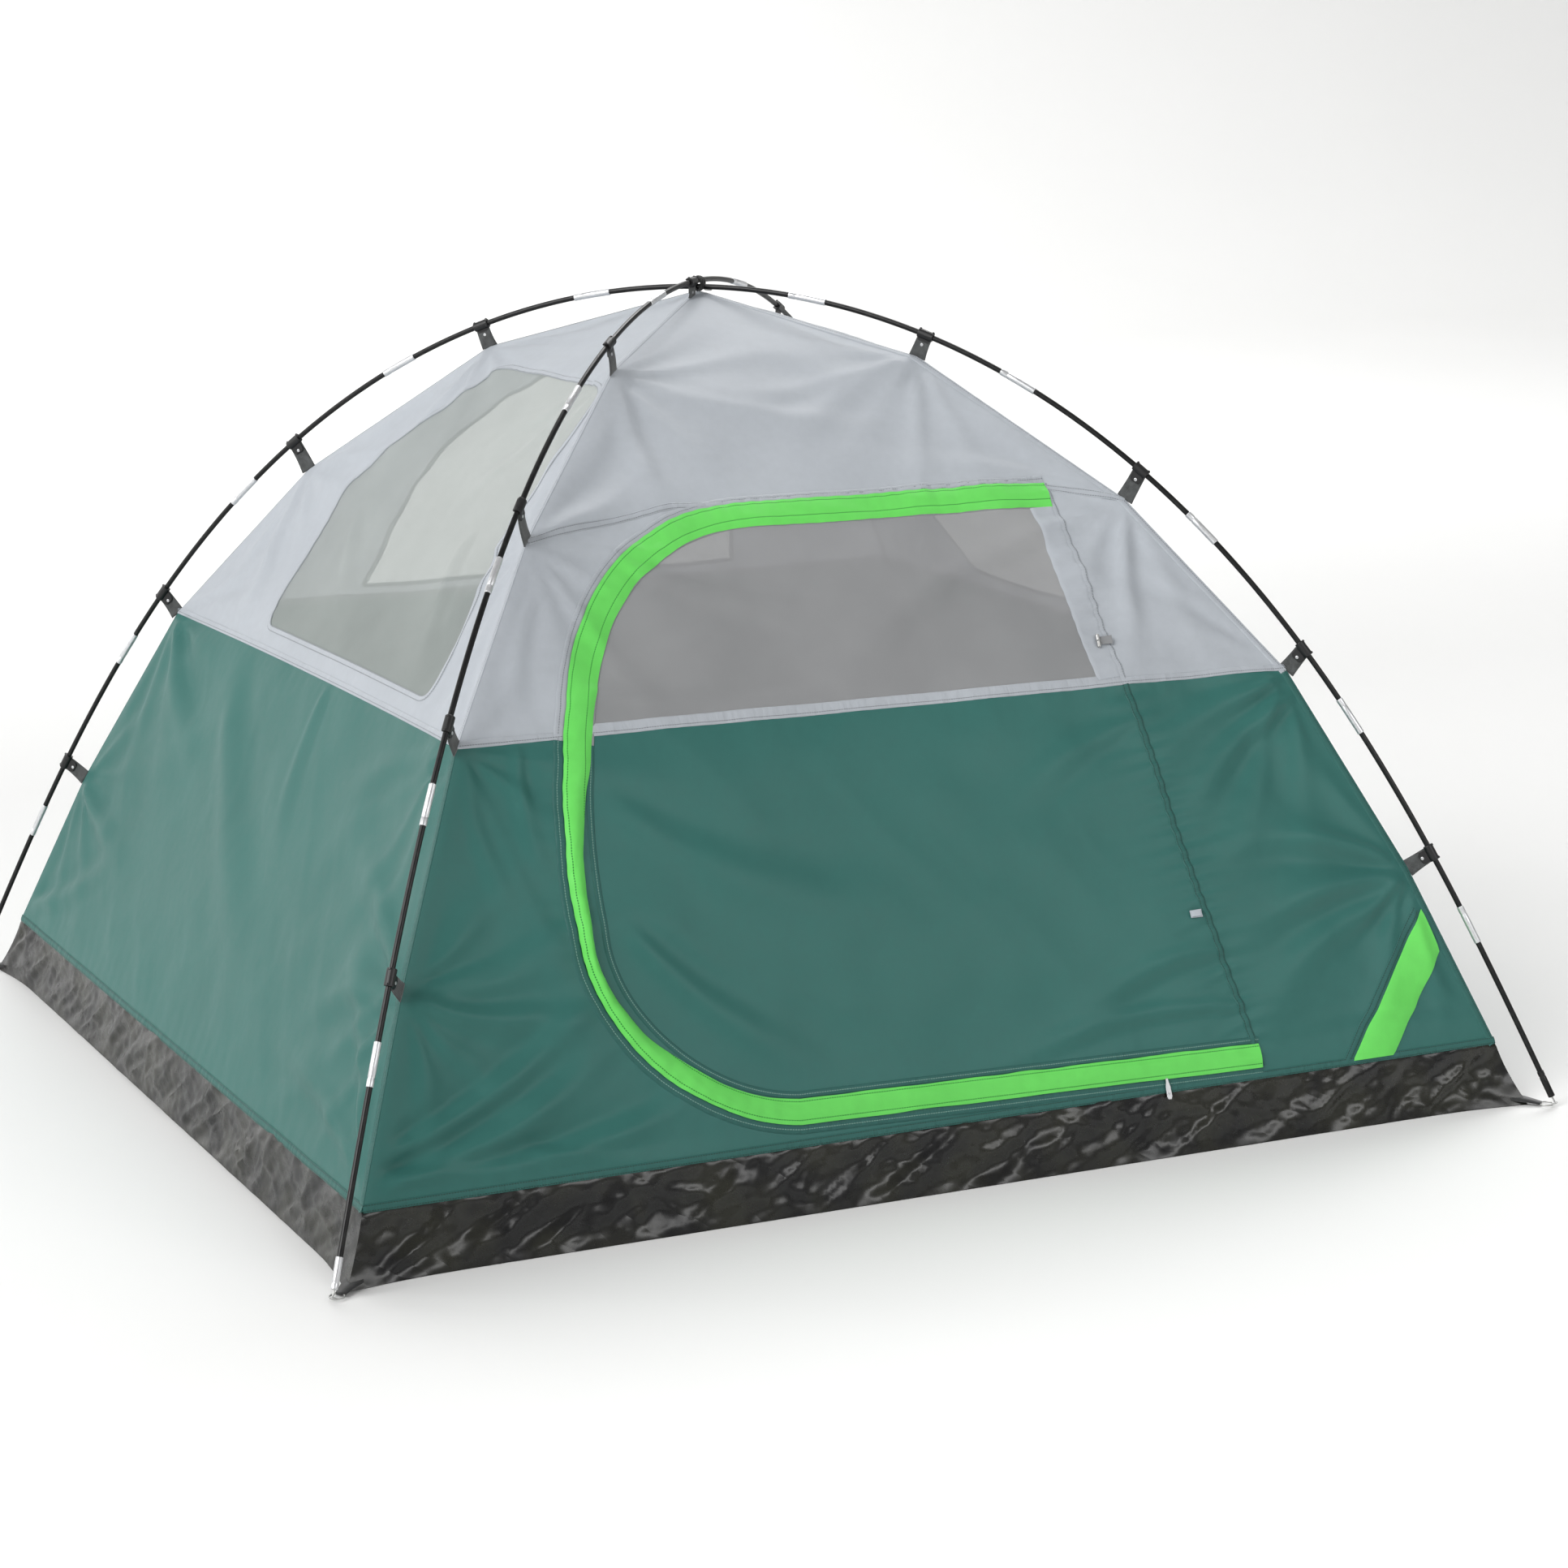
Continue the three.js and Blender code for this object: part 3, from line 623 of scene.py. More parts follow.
class Nodes:
    """A material's node tree, built one node at a time."""

    def __init__(self, name):
        self.material = bpy.data.materials.new(name)
        self.material.use_nodes = True
        self.tree = self.material.node_tree
        self.tree.nodes.clear()
        at = self.add("ShaderNodeTexCoord")
        self.where, self.uv = at.outputs["Object"], at.outputs["UV"]

    def add(self, kind, inputs=None, **settings):
        """A node. Each of its inputs is given a value, or another node's output."""
        node = self.tree.nodes.new(kind)
        for key, value in settings.items():
            setattr(node, key, value)
        for key, value in (inputs or {}).items():
            if isinstance(value, bpy.types.NodeSocket):
                self.tree.links.new(value, node.inputs[key])
            else:
                node.inputs[key].default_value = value
        return node

    def math(self, operation, a, b=0.0, c=0.0):
        return self.add("ShaderNodeMath", {0: a, 1: b, 2: c}, operation=operation).outputs[0]

    def noise(self, scale, detail=3.0, roughness=0.55, vector=None):
        vector = self.where if vector is None else vector
        inputs = {"Vector": vector, "Scale": scale, "Detail": detail, "Roughness": roughness}
        return self.add("ShaderNodeTexNoise", inputs).outputs["Fac"]

    def wave(self, scale, axis, distortion=0.0):
        inputs = {"Vector": self.uv, "Scale": scale, "Distortion": distortion}
        settings = {"wave_type": "BANDS", "bands_direction": axis, "wave_profile": "SIN"}
        return self.add("ShaderNodeTexWave", inputs, **settings).outputs["Fac"]

    def between(self, fac, low, high, from_low=0.0, from_high=1.0):
        inputs = {"Value": fac, "From Min": from_low, "From Max": from_high, "To Min": low, "To Max": high}
        return self.add("ShaderNodeMapRange", inputs).outputs["Result"]

    def mix(self, fac, a, b):
        return self.add("ShaderNodeMix", {0: fac, 6: a, 7: b}, data_type="RGBA").outputs[2]

    def tones(self, fac, from_low, from_high, a, b, most=1):
        """Colour a where fac is low, and b, or a share of it, where fac is high."""
        return self.mix(self.between(fac, 0, most, from_low, from_high), a, b)

    def bump(self, height, distance, strength, normal=None):
        inputs = {"Height": height, "Distance": distance, "Strength": strength}
        if normal is not None:
            inputs["Normal"] = normal
        return self.add("ShaderNodeBump", inputs).outputs["Normal"]

    def shader(self, kind, **inputs):
        named = {key.replace("_", " "): value for key, value in inputs.items()}
        return self.add("ShaderNodeBsdf" + kind, named).outputs[0]

    def either(self, fac, a, b):
        return self.add("ShaderNodeMixShader", {0: fac, 1: a, 2: b}).outputs[0]

    def show(self, shader):
        self.add("ShaderNodeOutputMaterial", {"Surface": shader})
        return self.material


def cloth(name, colour, glow, roughness=0.5, thread=None, rows=(), gathered=True):
    """Coated polyester taffeta: a fine plain weave, soft creases, and light that comes through.
    rows are the offsets of stitch lines, on a strip whose UV is (along, across) in metres."""
    n = Nodes(name)
    fine = n.noise(60, 2)
    shade = n.math("MULTIPLY_ADD", n.noise(2.2, 4), 0.75, n.math("MULTIPLY", fine, 0.25))
    base = n.tones(shade, 0.3, 0.7, tinted(colour, 0.93), tinted(colour, 1.07))
    weave = n.math("MULTIPLY", n.wave(420, "X", 1.0), n.wave(420, "Y", 1.0))
    normal = n.bump(n.noise(26, 4, 0.6), 0.0012, 0.42)
    normal = n.bump(weave, 0.00012, 0.35, normal)
    if rows:
        along, across, _ = n.add("ShaderNodeSeparateXYZ", {0: n.uv}).outputs
        dash = n.math("LESS_THAN", n.math("FRACT", n.math("DIVIDE", along, STITCH_PITCH)), 0.72)
        line = 0.0
        for row in rows:
            gap = n.math("ABSOLUTE", n.math("SUBTRACT", across, row))
            line = n.math("MAXIMUM", n.math("LESS_THAN", gap, 0.0007), line)
        stitch = n.math("MULTIPLY", line, dash)
        base = n.mix(stitch, base, thread)
        if gathered:
            drawn = n.add("ShaderNodeMapping", {"Vector": n.uv, "Scale": (1, 0.25, 1)}).outputs[0]
            normal = n.bump(n.noise(85, 2, vector=drawn), 0.003, 0.7, normal)
        normal = n.bump(stitch, 0.0005, 0.6, normal)
    rough = n.between(fine, roughness - 0.05, roughness + 0.07)
    skin = n.shader("Principled", Base_Color=base, Roughness=rough, Normal=normal,
                    Sheen_Weight=0.06, Sheen_Roughness=0.4, Specular_IOR_Level=0.3)
    return n.show(n.either(glow, skin, n.shader("Translucent", Color=base, Normal=normal)))


def netting(name, colour, cover):
    """Fine insect netting: crossed threads with the light showing between them."""
    n = Nodes(name)
    threads = n.math("MAXIMUM", n.wave(260, "X"), n.wave(260, "Y"))
    cloudy = n.noise(5, 3)
    solid = n.math("MULTIPLY_ADD", threads, 0.3, cover - 0.22)
    solid = n.math("MULTIPLY_ADD", cloudy, 0.12, solid)
    tone = n.mix(cloudy, tinted(colour, 0.9), tinted(colour, 1.1))
    skin = n.shader("Principled", Base_Color=tone, Roughness=0.8, Normal=n.bump(threads, 0.0002, 0.4),
                    Sheen_Weight=0.2, Specular_IOR_Level=0.3)
    thread = n.either(0.35, skin, n.shader("Translucent", Color=tone))
    return n.show(n.either(solid, n.shader("Transparent"), thread))


def tarpaulin(name):
    """Glossy coated groundsheet cloth, near black, crumpled in long slanting creases."""
    n = Nodes(name)

    def creases(angle, length, pitch):
        inputs = {"Vector": n.uv, "Rotation": (0, 0, angle), "Scale": (length, pitch, 1)}
        slanted = n.add("ShaderNodeMapping", inputs, vector_type="TEXTURE").outputs[0]
        return n.noise(1.0, 1.0, 0.5, slanted)

    fine = n.noise(70, 4, 0.65)
    mixed = n.tones(n.noise(11, 4), 0.4, 0.62, linear(8, 8, 9), linear(33, 33, 25))
    base = n.tones(fine, 0.52, 0.8, mixed, linear(58, 61, 60), 0.12)
    sharp = n.math("ABSOLUTE", n.math("MULTIPLY_ADD", creases(-0.5, 0.10, 0.035), 2.0, -1.0))
    normal = n.bump(creases(0.45, 0.20, 0.06), 0.028, 0.65)
    normal = n.bump(sharp, 0.003, 0.4, normal)
    normal = n.bump(n.noise(45, 3, 0.5), 0.0005, 0.3, normal)
    return n.show(n.shader("Principled", Base_Color=base, Roughness=n.between(fine, 0.23, 0.33),
                           Normal=normal, Specular_IOR_Level=0.48))


def glass_fibre(name):
    """Black fibreglass rod: a satin coat with long faint scratches."""
    n = Nodes(name)
    streak = n.noise(220, 3, vector=n.uv)
    base = n.tones(n.noise(90, 4, 0.7), 0.5, 0.75, linear(9, 9, 10), linear(34, 34, 33))
    return n.show(n.shader("Principled", Base_Color=base, Roughness=n.between(streak, 0.22, 0.45),
                           Normal=n.bump(streak, 0.0001, 0.4), Specular_IOR_Level=0.35))


def metal(name, colour, roughness):
    """Drawn or die-cast metal with fine marks of wear."""
    n = Nodes(name)
    wear = n.noise(160, 4, 0.7)
    base = n.tones(wear, 0.3, 0.7, tinted(colour, 0.85), colour)
    return n.show(n.shader("Principled", Base_Color=base, Metallic=0.85, Normal=n.bump(wear, 0.0002, 0.3),
                           Roughness=n.between(wear, roughness, roughness + 0.2)))


def webbing(name, colour):
    """Woven tape with its ribs across and paler worn patches."""
    n = Nodes(name)
    weave = n.math("MULTIPLY", n.wave(160, "X", 0.5), n.wave(100, "Y", 0.5))
    base = n.tones(n.noise(75, 4, 0.7), 0.35, 0.75, tinted(colour, 0.7), tinted(colour, 1.9))
    return n.show(n.shader("Principled", Base_Color=base, Roughness=0.75, Normal=n.bump(weave, 0.0004, 0.7),
                           Sheen_Weight=0.3))


def moulded(name, colour):
    """Moulded black plastic with a fine grain."""
    n = Nodes(name)
    worn = n.noise(60, 3)
    base = n.mix(worn, tinted(colour, 0.7), tinted(colour, 1.5))
    return n.show(n.shader("Principled", Base_Color=base, Roughness=n.between(worn, 0.3, 0.5),
                           Normal=n.bump(n.noise(500, 2), 0.0001, 0.5)))


def studio_floor(name):
    n = Nodes(name)
    base = n.mix(n.noise(0.6, 2), linear(229, 229, 228), linear(232, 232, 231))
    return n.show(n.shader("Principled", Base_Color=base, Roughness=0.7, Specular_IOR_Level=0.2))


GREY = (0.56, 0.595, 0.64, 1)
GREEN = (0.034, 0.145, 0.127, 1)
LIME = (0.17, 0.79, 0.135, 1)
GREEN_THREAD = linear(112, 150, 140)
SEAM_THREAD = linear(36, 68, 62)
LIME_THREAD = linear(50, 150, 60)
GREY_THREAD = linear(132, 136, 142)

grey_cloth = cloth("grey_cloth", GREY, 0.3)
green_cloth = cloth("green_cloth", GREEN, 0.12, roughness=0.42)
lime_cloth = cloth("lime_cloth", LIME, 0.22, roughness=0.5, thread=LIME_THREAD, rows=(0.0045, 0.0325),
                   gathered=False)
grey_band = cloth("grey_band", tinted(GREY, 0.86), 0.2, thread=GREY_THREAD, rows=(-0.004, 0.004))
grey_hem = cloth("grey_hem", tinted(GREY, 0.8), 0.2, thread=GREY_THREAD, rows=(-0.009,))
green_band = cloth("green_band", tinted(GREEN, 0.85), 0.1, thread=SEAM_THREAD, rows=(-0.004, 0.004))
green_hem = cloth("green_hem", tinted(GREEN, 0.8), 0.1, thread=GREEN_THREAD, rows=(-0.009, 0.043))
net_tape = cloth("net_tape", linear(150, 151, 153), 0.2, thread=GREY_THREAD, rows=(-0.009,))
window_net = netting("window_net", (0.54, 0.58, 0.56, 1), 0.62)
door_net = netting("door_net", (0.42, 0.42, 0.43, 1), 0.82)
floor_cloth = tarpaulin("floor_tarpaulin")
rod_black = glass_fibre("rod_black")
sleeve_metal = metal("sleeve_metal", linear(225, 226, 228), 0.28)
ring_metal = metal("ring_metal", linear(190, 190, 188), 0.3)
zip_metal = metal("zip_metal", linear(205, 206, 208), 0.25)
tape_dark = webbing("tape_dark", linear(58, 60, 60))
strap_black = webbing("strap_black", linear(26, 27, 27))
hook_black = moulded("hook_black", linear(17, 17, 18))


# ---- camera, light and floor ----

CAMERA_AZIMUTH = math.radians(-25.40)
CAMERA_ELEVATION = math.radians(11.695)
CAMERA_ROLL = math.radians(-0.4287)
CAMERA_BACK = 6.518
CAMERA_RIGHT = 0.1355
CAMERA_UP = 0.4377
LENS = 84.63
WORLD_STRENGTH = 0.31
KEY_STRENGTH = 2.5
BACK_STRENGTH = 2.25


def place_camera():
    az, el = CAMERA_AZIMUTH, CAMERA_ELEVATION
    back = Vector((math.sin(az) * math.cos(el), -math.cos(az) * math.cos(el), math.sin(el)))
    right = Vector((0, 0, 1)).cross(back).normalized()
    up = back.cross(right)
    c, s = math.cos(CAMERA_ROLL), math.sin(CAMERA_ROLL)
    right, up = c * right + s * up, c * up - s * right
    data = bpy.data.cameras.new("camera")
    data.sensor_width = 36
    data.lens = LENS
    data.clip_end = 200
    camera = new_object("camera", data)
    place = back * CAMERA_BACK + right * CAMERA_RIGHT + up * CAMERA_UP
    camera.matrix_world = Matrix.Translation(place) @ Matrix((right, up, back)).transposed().to_4x4()
    bpy.context.scene.camera = camera


def sweep(material):
    """The studio's pale floor, curving up behind the tent into a back wall."""
    radius, wall_y, top, half = 4.0, 16.0, 16.0, 70.0
    line = [(-half, 0.0), (-6.0, 0.0), (4.0, 0.0), (wall_y - radius, 0.0)]
    for t in np.linspace(0, np.pi / 2, 14)[1:]:
        line.append((wall_y - radius + radius * math.sin(t), radius - radius * math.cos(t)))
    line.append((wall_y, top))
    points = [(x, y, z - 0.0004) for y, z in line for x in (-half, half)]
    return make("studio_sweep", points, grid_faces(len(line), 2), material)


def light(name, kind, strength, at, aim, **settings):
    data = bpy.data.lights.new(name, kind)
    data.energy = strength
    for key, value in settings.items():
        setattr(data, key, value)
    lamp = new_object(name, data)
    lamp.location = at
    lamp.rotation_euler = (Vector(aim) - Vector(at)).to_track_quat("-Z", "Y").to_euler()


def sun(name, towards, strength, softness):
    light(name, "SUN", strength, (0, 0, 0), towards, angle=math.radians(softness))


def softbox(name, at, size, power, aim=(0, 0, 0.3)):
    light(name, "AREA", power, at, aim, shape="RECTANGLE", size=size[0], size_y=size[1])


def studio():
    world = bpy.data.worlds.new("studio")
    world.use_nodes = True
    background = world.node_tree.nodes["Background"]
    background.inputs["Color"].default_value = (1, 1, 1, 1)
    background.inputs["Strength"].default_value = WORLD_STRENGTH
    bpy.context.scene.world = world
    sun("key", (0.80, 0.24, -0.55), KEY_STRENGTH, 38)
    sun("back", (-0.45, -0.74, -0.85), BACK_STRENGTH, 36)
    softbox("front_strip", (2.2, -5.7, 3.1), (3.4, 1.3), 75)
    softbox("left_strip", (-5.2, 3.4, 2.6), (0.8, 2.6), 50)
    softbox("backdrop", (0, 6.5, 7.0), (14, 2), 800, aim=(0, 15.5, 2.0))
    bpy.context.scene.view_settings.view_transform = "Standard"
    sweep(studio_floor("studio_floor"))


# ---- poles ----

def elastic_half():
    """Half of a bent rod as an ideal elastic strip: shares of its half span and of its height."""
    steps = 240
    k = math.sin(END_ANGLE / 2)
    phi = (np.arange(steps) + 0.5) / steps * math.pi / 2
    theta = 2 * np.arcsin(k * np.sin(phi))
    ds = 1 / np.sqrt(1 - (k * np.sin(phi)) ** 2)
    across = np.concatenate([[0], np.cumsum(np.cos(theta) * ds)])
    down = np.concatenate([[0], np.cumsum(np.sin(theta) * ds)])
    return across / across[-1], 1 - down / down[-1]


class Pole:
    def __init__(self, name, out, top):
        self.name = name
        self.out = np.array(out) / ROOT2
        self.side = np.cross((0, 0, 1), self.out)
        across, height = elastic_half()
        self.reach = across * TIP * ROOT2
        self.height = height * top
        self.length = lengths_of(np.stack([self.reach, self.height], 1))
        self.end = float(np.interp(-POLE_END_Z, -self.height, self.length))

    def at(self, along):
        """Points at signed lengths from the crossing."""
        along = np.asarray(along, float)
        sign = np.where(along < 0, -1.0, 1.0)
        reach = np.interp(np.abs(along), self.length, self.reach) * sign
        height = np.interp(np.abs(along), self.length, self.height)
        return reach[..., None] * self.out + height[..., None] * np.array((0, 0, 1.0))

    def frame(self, along):
        """Point, direction, side and upward normal."""
        h = 0.004
        tangent = unit(self.at(along + h) - self.at(along - h))
        up = np.cross(tangent, self.side)
        return self.at(along), tangent, self.side, up

    def length_at(self, share):
        return float(np.interp(share * TIP * ROOT2, self.reach, self.length))


POLES = {
    "upper": Pole("upper", (1, 1, 0), CROSSING_Z + POLE_LIFT),
    "lower": Pole("lower", (1, -1, 0), CROSSING_Z),
}


def tube(name, pole, stations, material, sides=18):
    """A closed round bar along a pole, through (length along, radius) stations."""
    rings = []
    turn = np.linspace(0, 2 * np.pi, sides, endpoint=False)
    for along, radius in stations:
        at, _, side, up = pole.frame(along)
        rings.append(at + radius * (np.cos(turn)[:, None] * side + np.sin(turn)[:, None] * up))
    lengths = np.repeat([s[0] for s in stations], sides)
    uv = np.stack([lengths * 0.05, np.tile(turn / 6, len(stations))], 1)
    obj = make(name, np.concatenate(rings), bar_faces(len(stations), sides), material, uv)
    for polygon in obj.data.polygons:
        polygon.use_smooth = len(polygon.vertices) <= 4
    return obj


def build_pole(pole):
    joints = [(k - SECTIONS / 2) * SECTION_PITCH for k in range(1, SECTIONS)]
    ends = [-pole.end, *joints, pole.end]
    for k in range(SECTIONS):
        label = f"{pole.name}_{k + 1:02d}"
        stations = [(x, ROD_R) for x in np.linspace(ends[k], ends[k + 1], 34)]
        trim(tube(f"rod_{label}", pole, stations, rod_black), "pole_black", f"pole_{label}")
    half = SLEEVE_LENGTH / 2
    for k, middle in enumerate(joints):
        sleeve(f"sleeve_{pole.name}_{k + 1:02d}", pole, middle - half, middle + half)
    sleeve(f"end_sleeve_{pole.name}_a", pole, -pole.end, -pole.end + END_SLEEVE)
    far_end = rod_black if pole.name == "lower" else sleeve_metal
    sleeve(f"end_sleeve_{pole.name}_b", pole, pole.end - END_SLEEVE, pole.end, far_end)


def sleeve(name, pole, start, end, material=sleeve_metal):
    """A metal sleeve with a rolled rim at each end and a crimp ring near one."""
    r, rim, low = SLEEVE_R, 0.0012, SLEEVE_R - 0.0005
    crimp = start + 0.2 * (end - start)
    stations = [(start, ROD_R - 0.0002), (start, low), (start + 0.0006, r), (start + rim, r),
                (crimp - 0.002, r), (crimp - 0.0008, low), (crimp + 0.0008, low), (crimp + 0.002, r),
                (0.5 * (start + end), r), (end - rim, r), (end - 0.0006, r), (end, low),
                (end, ROD_R - 0.0002)]
    trim(tube(name, pole, stations, material, 24), "ring_steel")


# ---- bars and rings ----

def circle(radius, count):
    return [(radius * math.cos(x), radius * math.sin(x))
            for x in np.linspace(0, 2 * np.pi, count, endpoint=False)]


def slab(low, high, rim, scale):
    """The slices of a flat bar with its two rims drawn in."""
    return [(low, scale), (low + rim, 1), (high - rim, 1), (high, scale)]


def loft(section, slices, origin, a_axis, b_axis, c_axis):
    """A closed bar: one section at several places along c_axis, each with its own scale."""
    a, b, c = (np.asarray(x, float) for x in (a_axis, b_axis, c_axis))
    if np.dot(np.cross(a, b), c) < 0:
        section = section[::-1]
    points = [origin + c * depth + scale * (p * a + q * b) for depth, scale in slices for p, q in section]
    return points, bar_faces(len(slices), len(section))


def torus(centre, a_axis, b_axis, radius, wire, around=40, sides=12):
    a, b = np.asarray(a_axis, float), np.asarray(b_axis, float)
    c = np.cross(a, b)
    points = []
    for u, v in circle(1, around):
        out = a * u + b * v
        points += [centre + out * (radius + p) + c * q for p, q in circle(wire, sides)]
    faces = []
    for i in range(around):
        for j in range(sides):
            k, m = (i + 1) % around, (j + 1) % sides
            faces.append((i * sides + j, k * sides + j, k * sides + m, i * sides + m))
    return points, faces


def bar_between(start, end, radius, sides=12):
    length = np.linalg.norm(end - start)
    c = (end - start) / length
    a = unit(np.cross(c, (0.3, 0.5, 0.8)))
    slices = [(0, 0.6), (radius / 2, 1), (length - radius / 2, 1), (length, 0.6)]
    return loft(circle(radius, sides), slices, start, a, np.cross(c, a), c)


def merged(parts):
    """One list of points and one of faces from several of each."""
    points, faces = [], []
    for part_points, part_faces in parts:
        start = len(points)
        points += list(part_points)
        faces += [tuple(int(i) + start for i in f) for f in part_faces]
    return points, faces


def join(name, parts, material, smooth=False):
    obj = make(name, *merged(parts), material, smooth=smooth)
    bevel = obj.modifiers.new("edges", "BEVEL")
    bevel.width = 0.0003
    bevel.segments = 2
    bevel.limit_method = "ANGLE"
    return obj


# ---- clips ----

TAPE_ACROSS = (-1, -0.93, -0.5, 0, 0.5, 0.93, 1, 1, 0.93, 0.5, 0, -0.5, -0.93, -1)
HOOK_MOUTH = math.radians(38)
HOOK_OUTER = 0.0079
HOOK_INNER = 0.0048
HOOK_HALF = 0.0135  # half its length along the pole
LUG_R = 0.0024
LUG_AT = 0.0115  # along the pole from the hook's middle
LUG_RISE = 0.0074
PLATE_DROP = 0.0135  # from the pole's axis to the plate under the hook
RIVET_DROP = 0.0175
RIVET_R = 0.0028
TAPE_START = 0.0045
TAPE_HALF = 0.0126
TAPE_FLARE = 0.0022  # added to its half width by its foot
TAPE_BOW = 0.0016
TAPE_THICK = 0.0009  # on each side of its middle


def build_clip(name, pole, share, sign, foot_out, foot_z):
    """A moulded hook round the pole and the tape that carries the canopy's ridge."""
    at, tangent, side, up = pole.frame(sign * pole.length_at(share))
    foot = pole.out * sign * foot_out * ROOT2 + np.array((0, 0, foot_z))
    drop = foot - at
    length = np.linalg.norm(drop)
    drop /= length
    across = unit(np.cross(drop, side))

    rows, count, points, uv = 15, len(TAPE_ACROSS), [], []
    for i in range(rows):
        t = i / (rows - 1)
        reach = TAPE_START + t * (length - 0.0035)
        half = TAPE_HALF + TAPE_FLARE * t ** 2
        bow = TAPE_BOW * math.sin(math.pi * t) * (1 if foot_out > 0.4 else -1)
        for j, q in enumerate(TAPE_ACROSS):
            thick = (TAPE_THICK if j < count / 2 else -TAPE_THICK) * (0.4 if abs(q) == 1 else 1)
            points.append(at + drop * reach + across * (half * q) + side * (bow + thick))
            uv.append((reach, half * q))
    tape = make(f"{name}_tape", points, bar_faces(rows, count), tape_dark, uv)
    trim(tape, "clip_webbing", name)

    arc = np.linspace(HOOK_MOUTH, 2 * math.pi - HOOK_MOUTH, 22)
    section = [(HOOK_OUTER * math.cos(x), HOOK_OUTER * math.sin(x)) for x in arc]
    section += [(HOOK_INNER * math.cos(x), HOOK_INNER * math.sin(x)) for x in arc[::-1]]
    parts = [loft(section, slab(-HOOK_HALF, HOOK_HALF, 0.001, 0.93), at, side, up, tangent)]
    for end in (-1, 1):
        centre = at + tangent * (end * LUG_AT) + up * LUG_RISE
        slices = [(-0.002, 0.8), (0, 1), (0.0018, 0.6)]
        parts.append(loft(circle(LUG_R, 11), slices, centre, tangent, side, up))
    plate = [(-0.0105, -0.0075), (0.0105, -0.0075), (0.0105, 0.0045), (0.006, 0.0085),
             (-0.006, 0.0085), (-0.0105, 0.0045)]
    slices = slab(-0.0019, 0.0019, 0.0005, 0.94)
    parts.append(loft(plate, slices, at + drop * PLATE_DROP, across, drop, side))
    trim(join(f"{name}_hook", parts, hook_black), "clip_webbing")

    slices = slab(-0.0026, 0.0026, 0.0003, 0.7)
    rivet = loft(circle(RIVET_R, 16), slices, at + drop * RIVET_DROP, across, drop, side)
    trim(join(f"{name}_rivet", [rivet], zip_metal), "clip_webbing")


# ---- walls ----

HEM_OUT = (-0.016, -0.0155, -0.012, -0.006, -0.001, 0.0005, 0.0006)
HEM_LIFT = (0.0001, 0.0009, 0.0013, 0.0013, 0.0014, 0.0010, -0.0006)
DOOR_HEM_OUT = (0.037, 0.0372, 0.040, 0.046, 0.0475, 0.048)
DOOR_HEM_LIFT = (-0.0002, 0.0007, 0.0012, 0.0012, 0.0009, 0.0)
BAND_OUT = np.array((-0.0062, -0.006, -0.0045, -0.003, 0, 0.003, 0.0045, 0.006, 0.0062))
BAND_LIFT = np.array((0.0001, 0.0008, 0.0011, 0.0014, 0.0016, 0.0014, 0.0011, 0.0008, 0.0001))
BANDS = {"grey": grey_band, "green": green_band}
BORDER_WIDTH = 0.044  # of the cloth between the door's netting and the hinge seam
BORDER_TOP_Z = 0.975
TOP_SEAM_MIDDLE = [(-0.27, 1.006), (0.35, 1.008)]  # (a, z) of its two inner points

# The upright sides of the lower and the upper panels, where they meet the next wall.
LOWER_RIGHT = ridge_line(1, V_TUB, V_SEAM)[1:]
LOWER_LEFT = ridge_line(-1, V_TUB, V_SEAM)[-2:0:-1]
UPPER_SIDES = [*ridge_line(1, V_SEAM, PEAK_V)[1:], *ridge_line(-1, V_SEAM, PEAK_V)[-2:0:-1]]


def split_at(line, v):
    """Where a line first crosses a level: the index of the point past it, and the crossing."""
    cut = next(i for i in range(1, len(line)) if (line[i - 1][1] - v) * (line[i][1] - v) < 0)
    p, q = line[cut - 1], line[cut]
    t = (v - p[1]) / (q[1] - p[1])
    return cut, (p[0] + t * (q[0] - p[0]), v)


def seam_band(name, wall, line, colour, side=0):
    """A felled seam: a double-stitched band along a line, on it or just to one side."""
    band = ribbon(name, wall, resample(line, RIBBON_STEP), BAND_OUT + side * 0.006, BAND_LIFT, BANDS[colour])
    return trim(band, f"{colour}_cloth")


def zip_hems(prefix, offsets, lifts, body, upper_material):
    """The two hems along the zip, one above the level seam and one below it."""
    cut = split_at(ZIP, V_SEAM)[0]
    upper = ribbon(f"{prefix}_hem_upper", "front", ZIP[:cut + 1], offsets, lifts, upper_material)
    lower = ribbon(f"{prefix}_hem_lower", "front", ZIP[cut - 1:], offsets, lifts, green_hem)
    return trim(upper, "grey_cloth", body=body), trim(lower, "green_cloth", body=body)


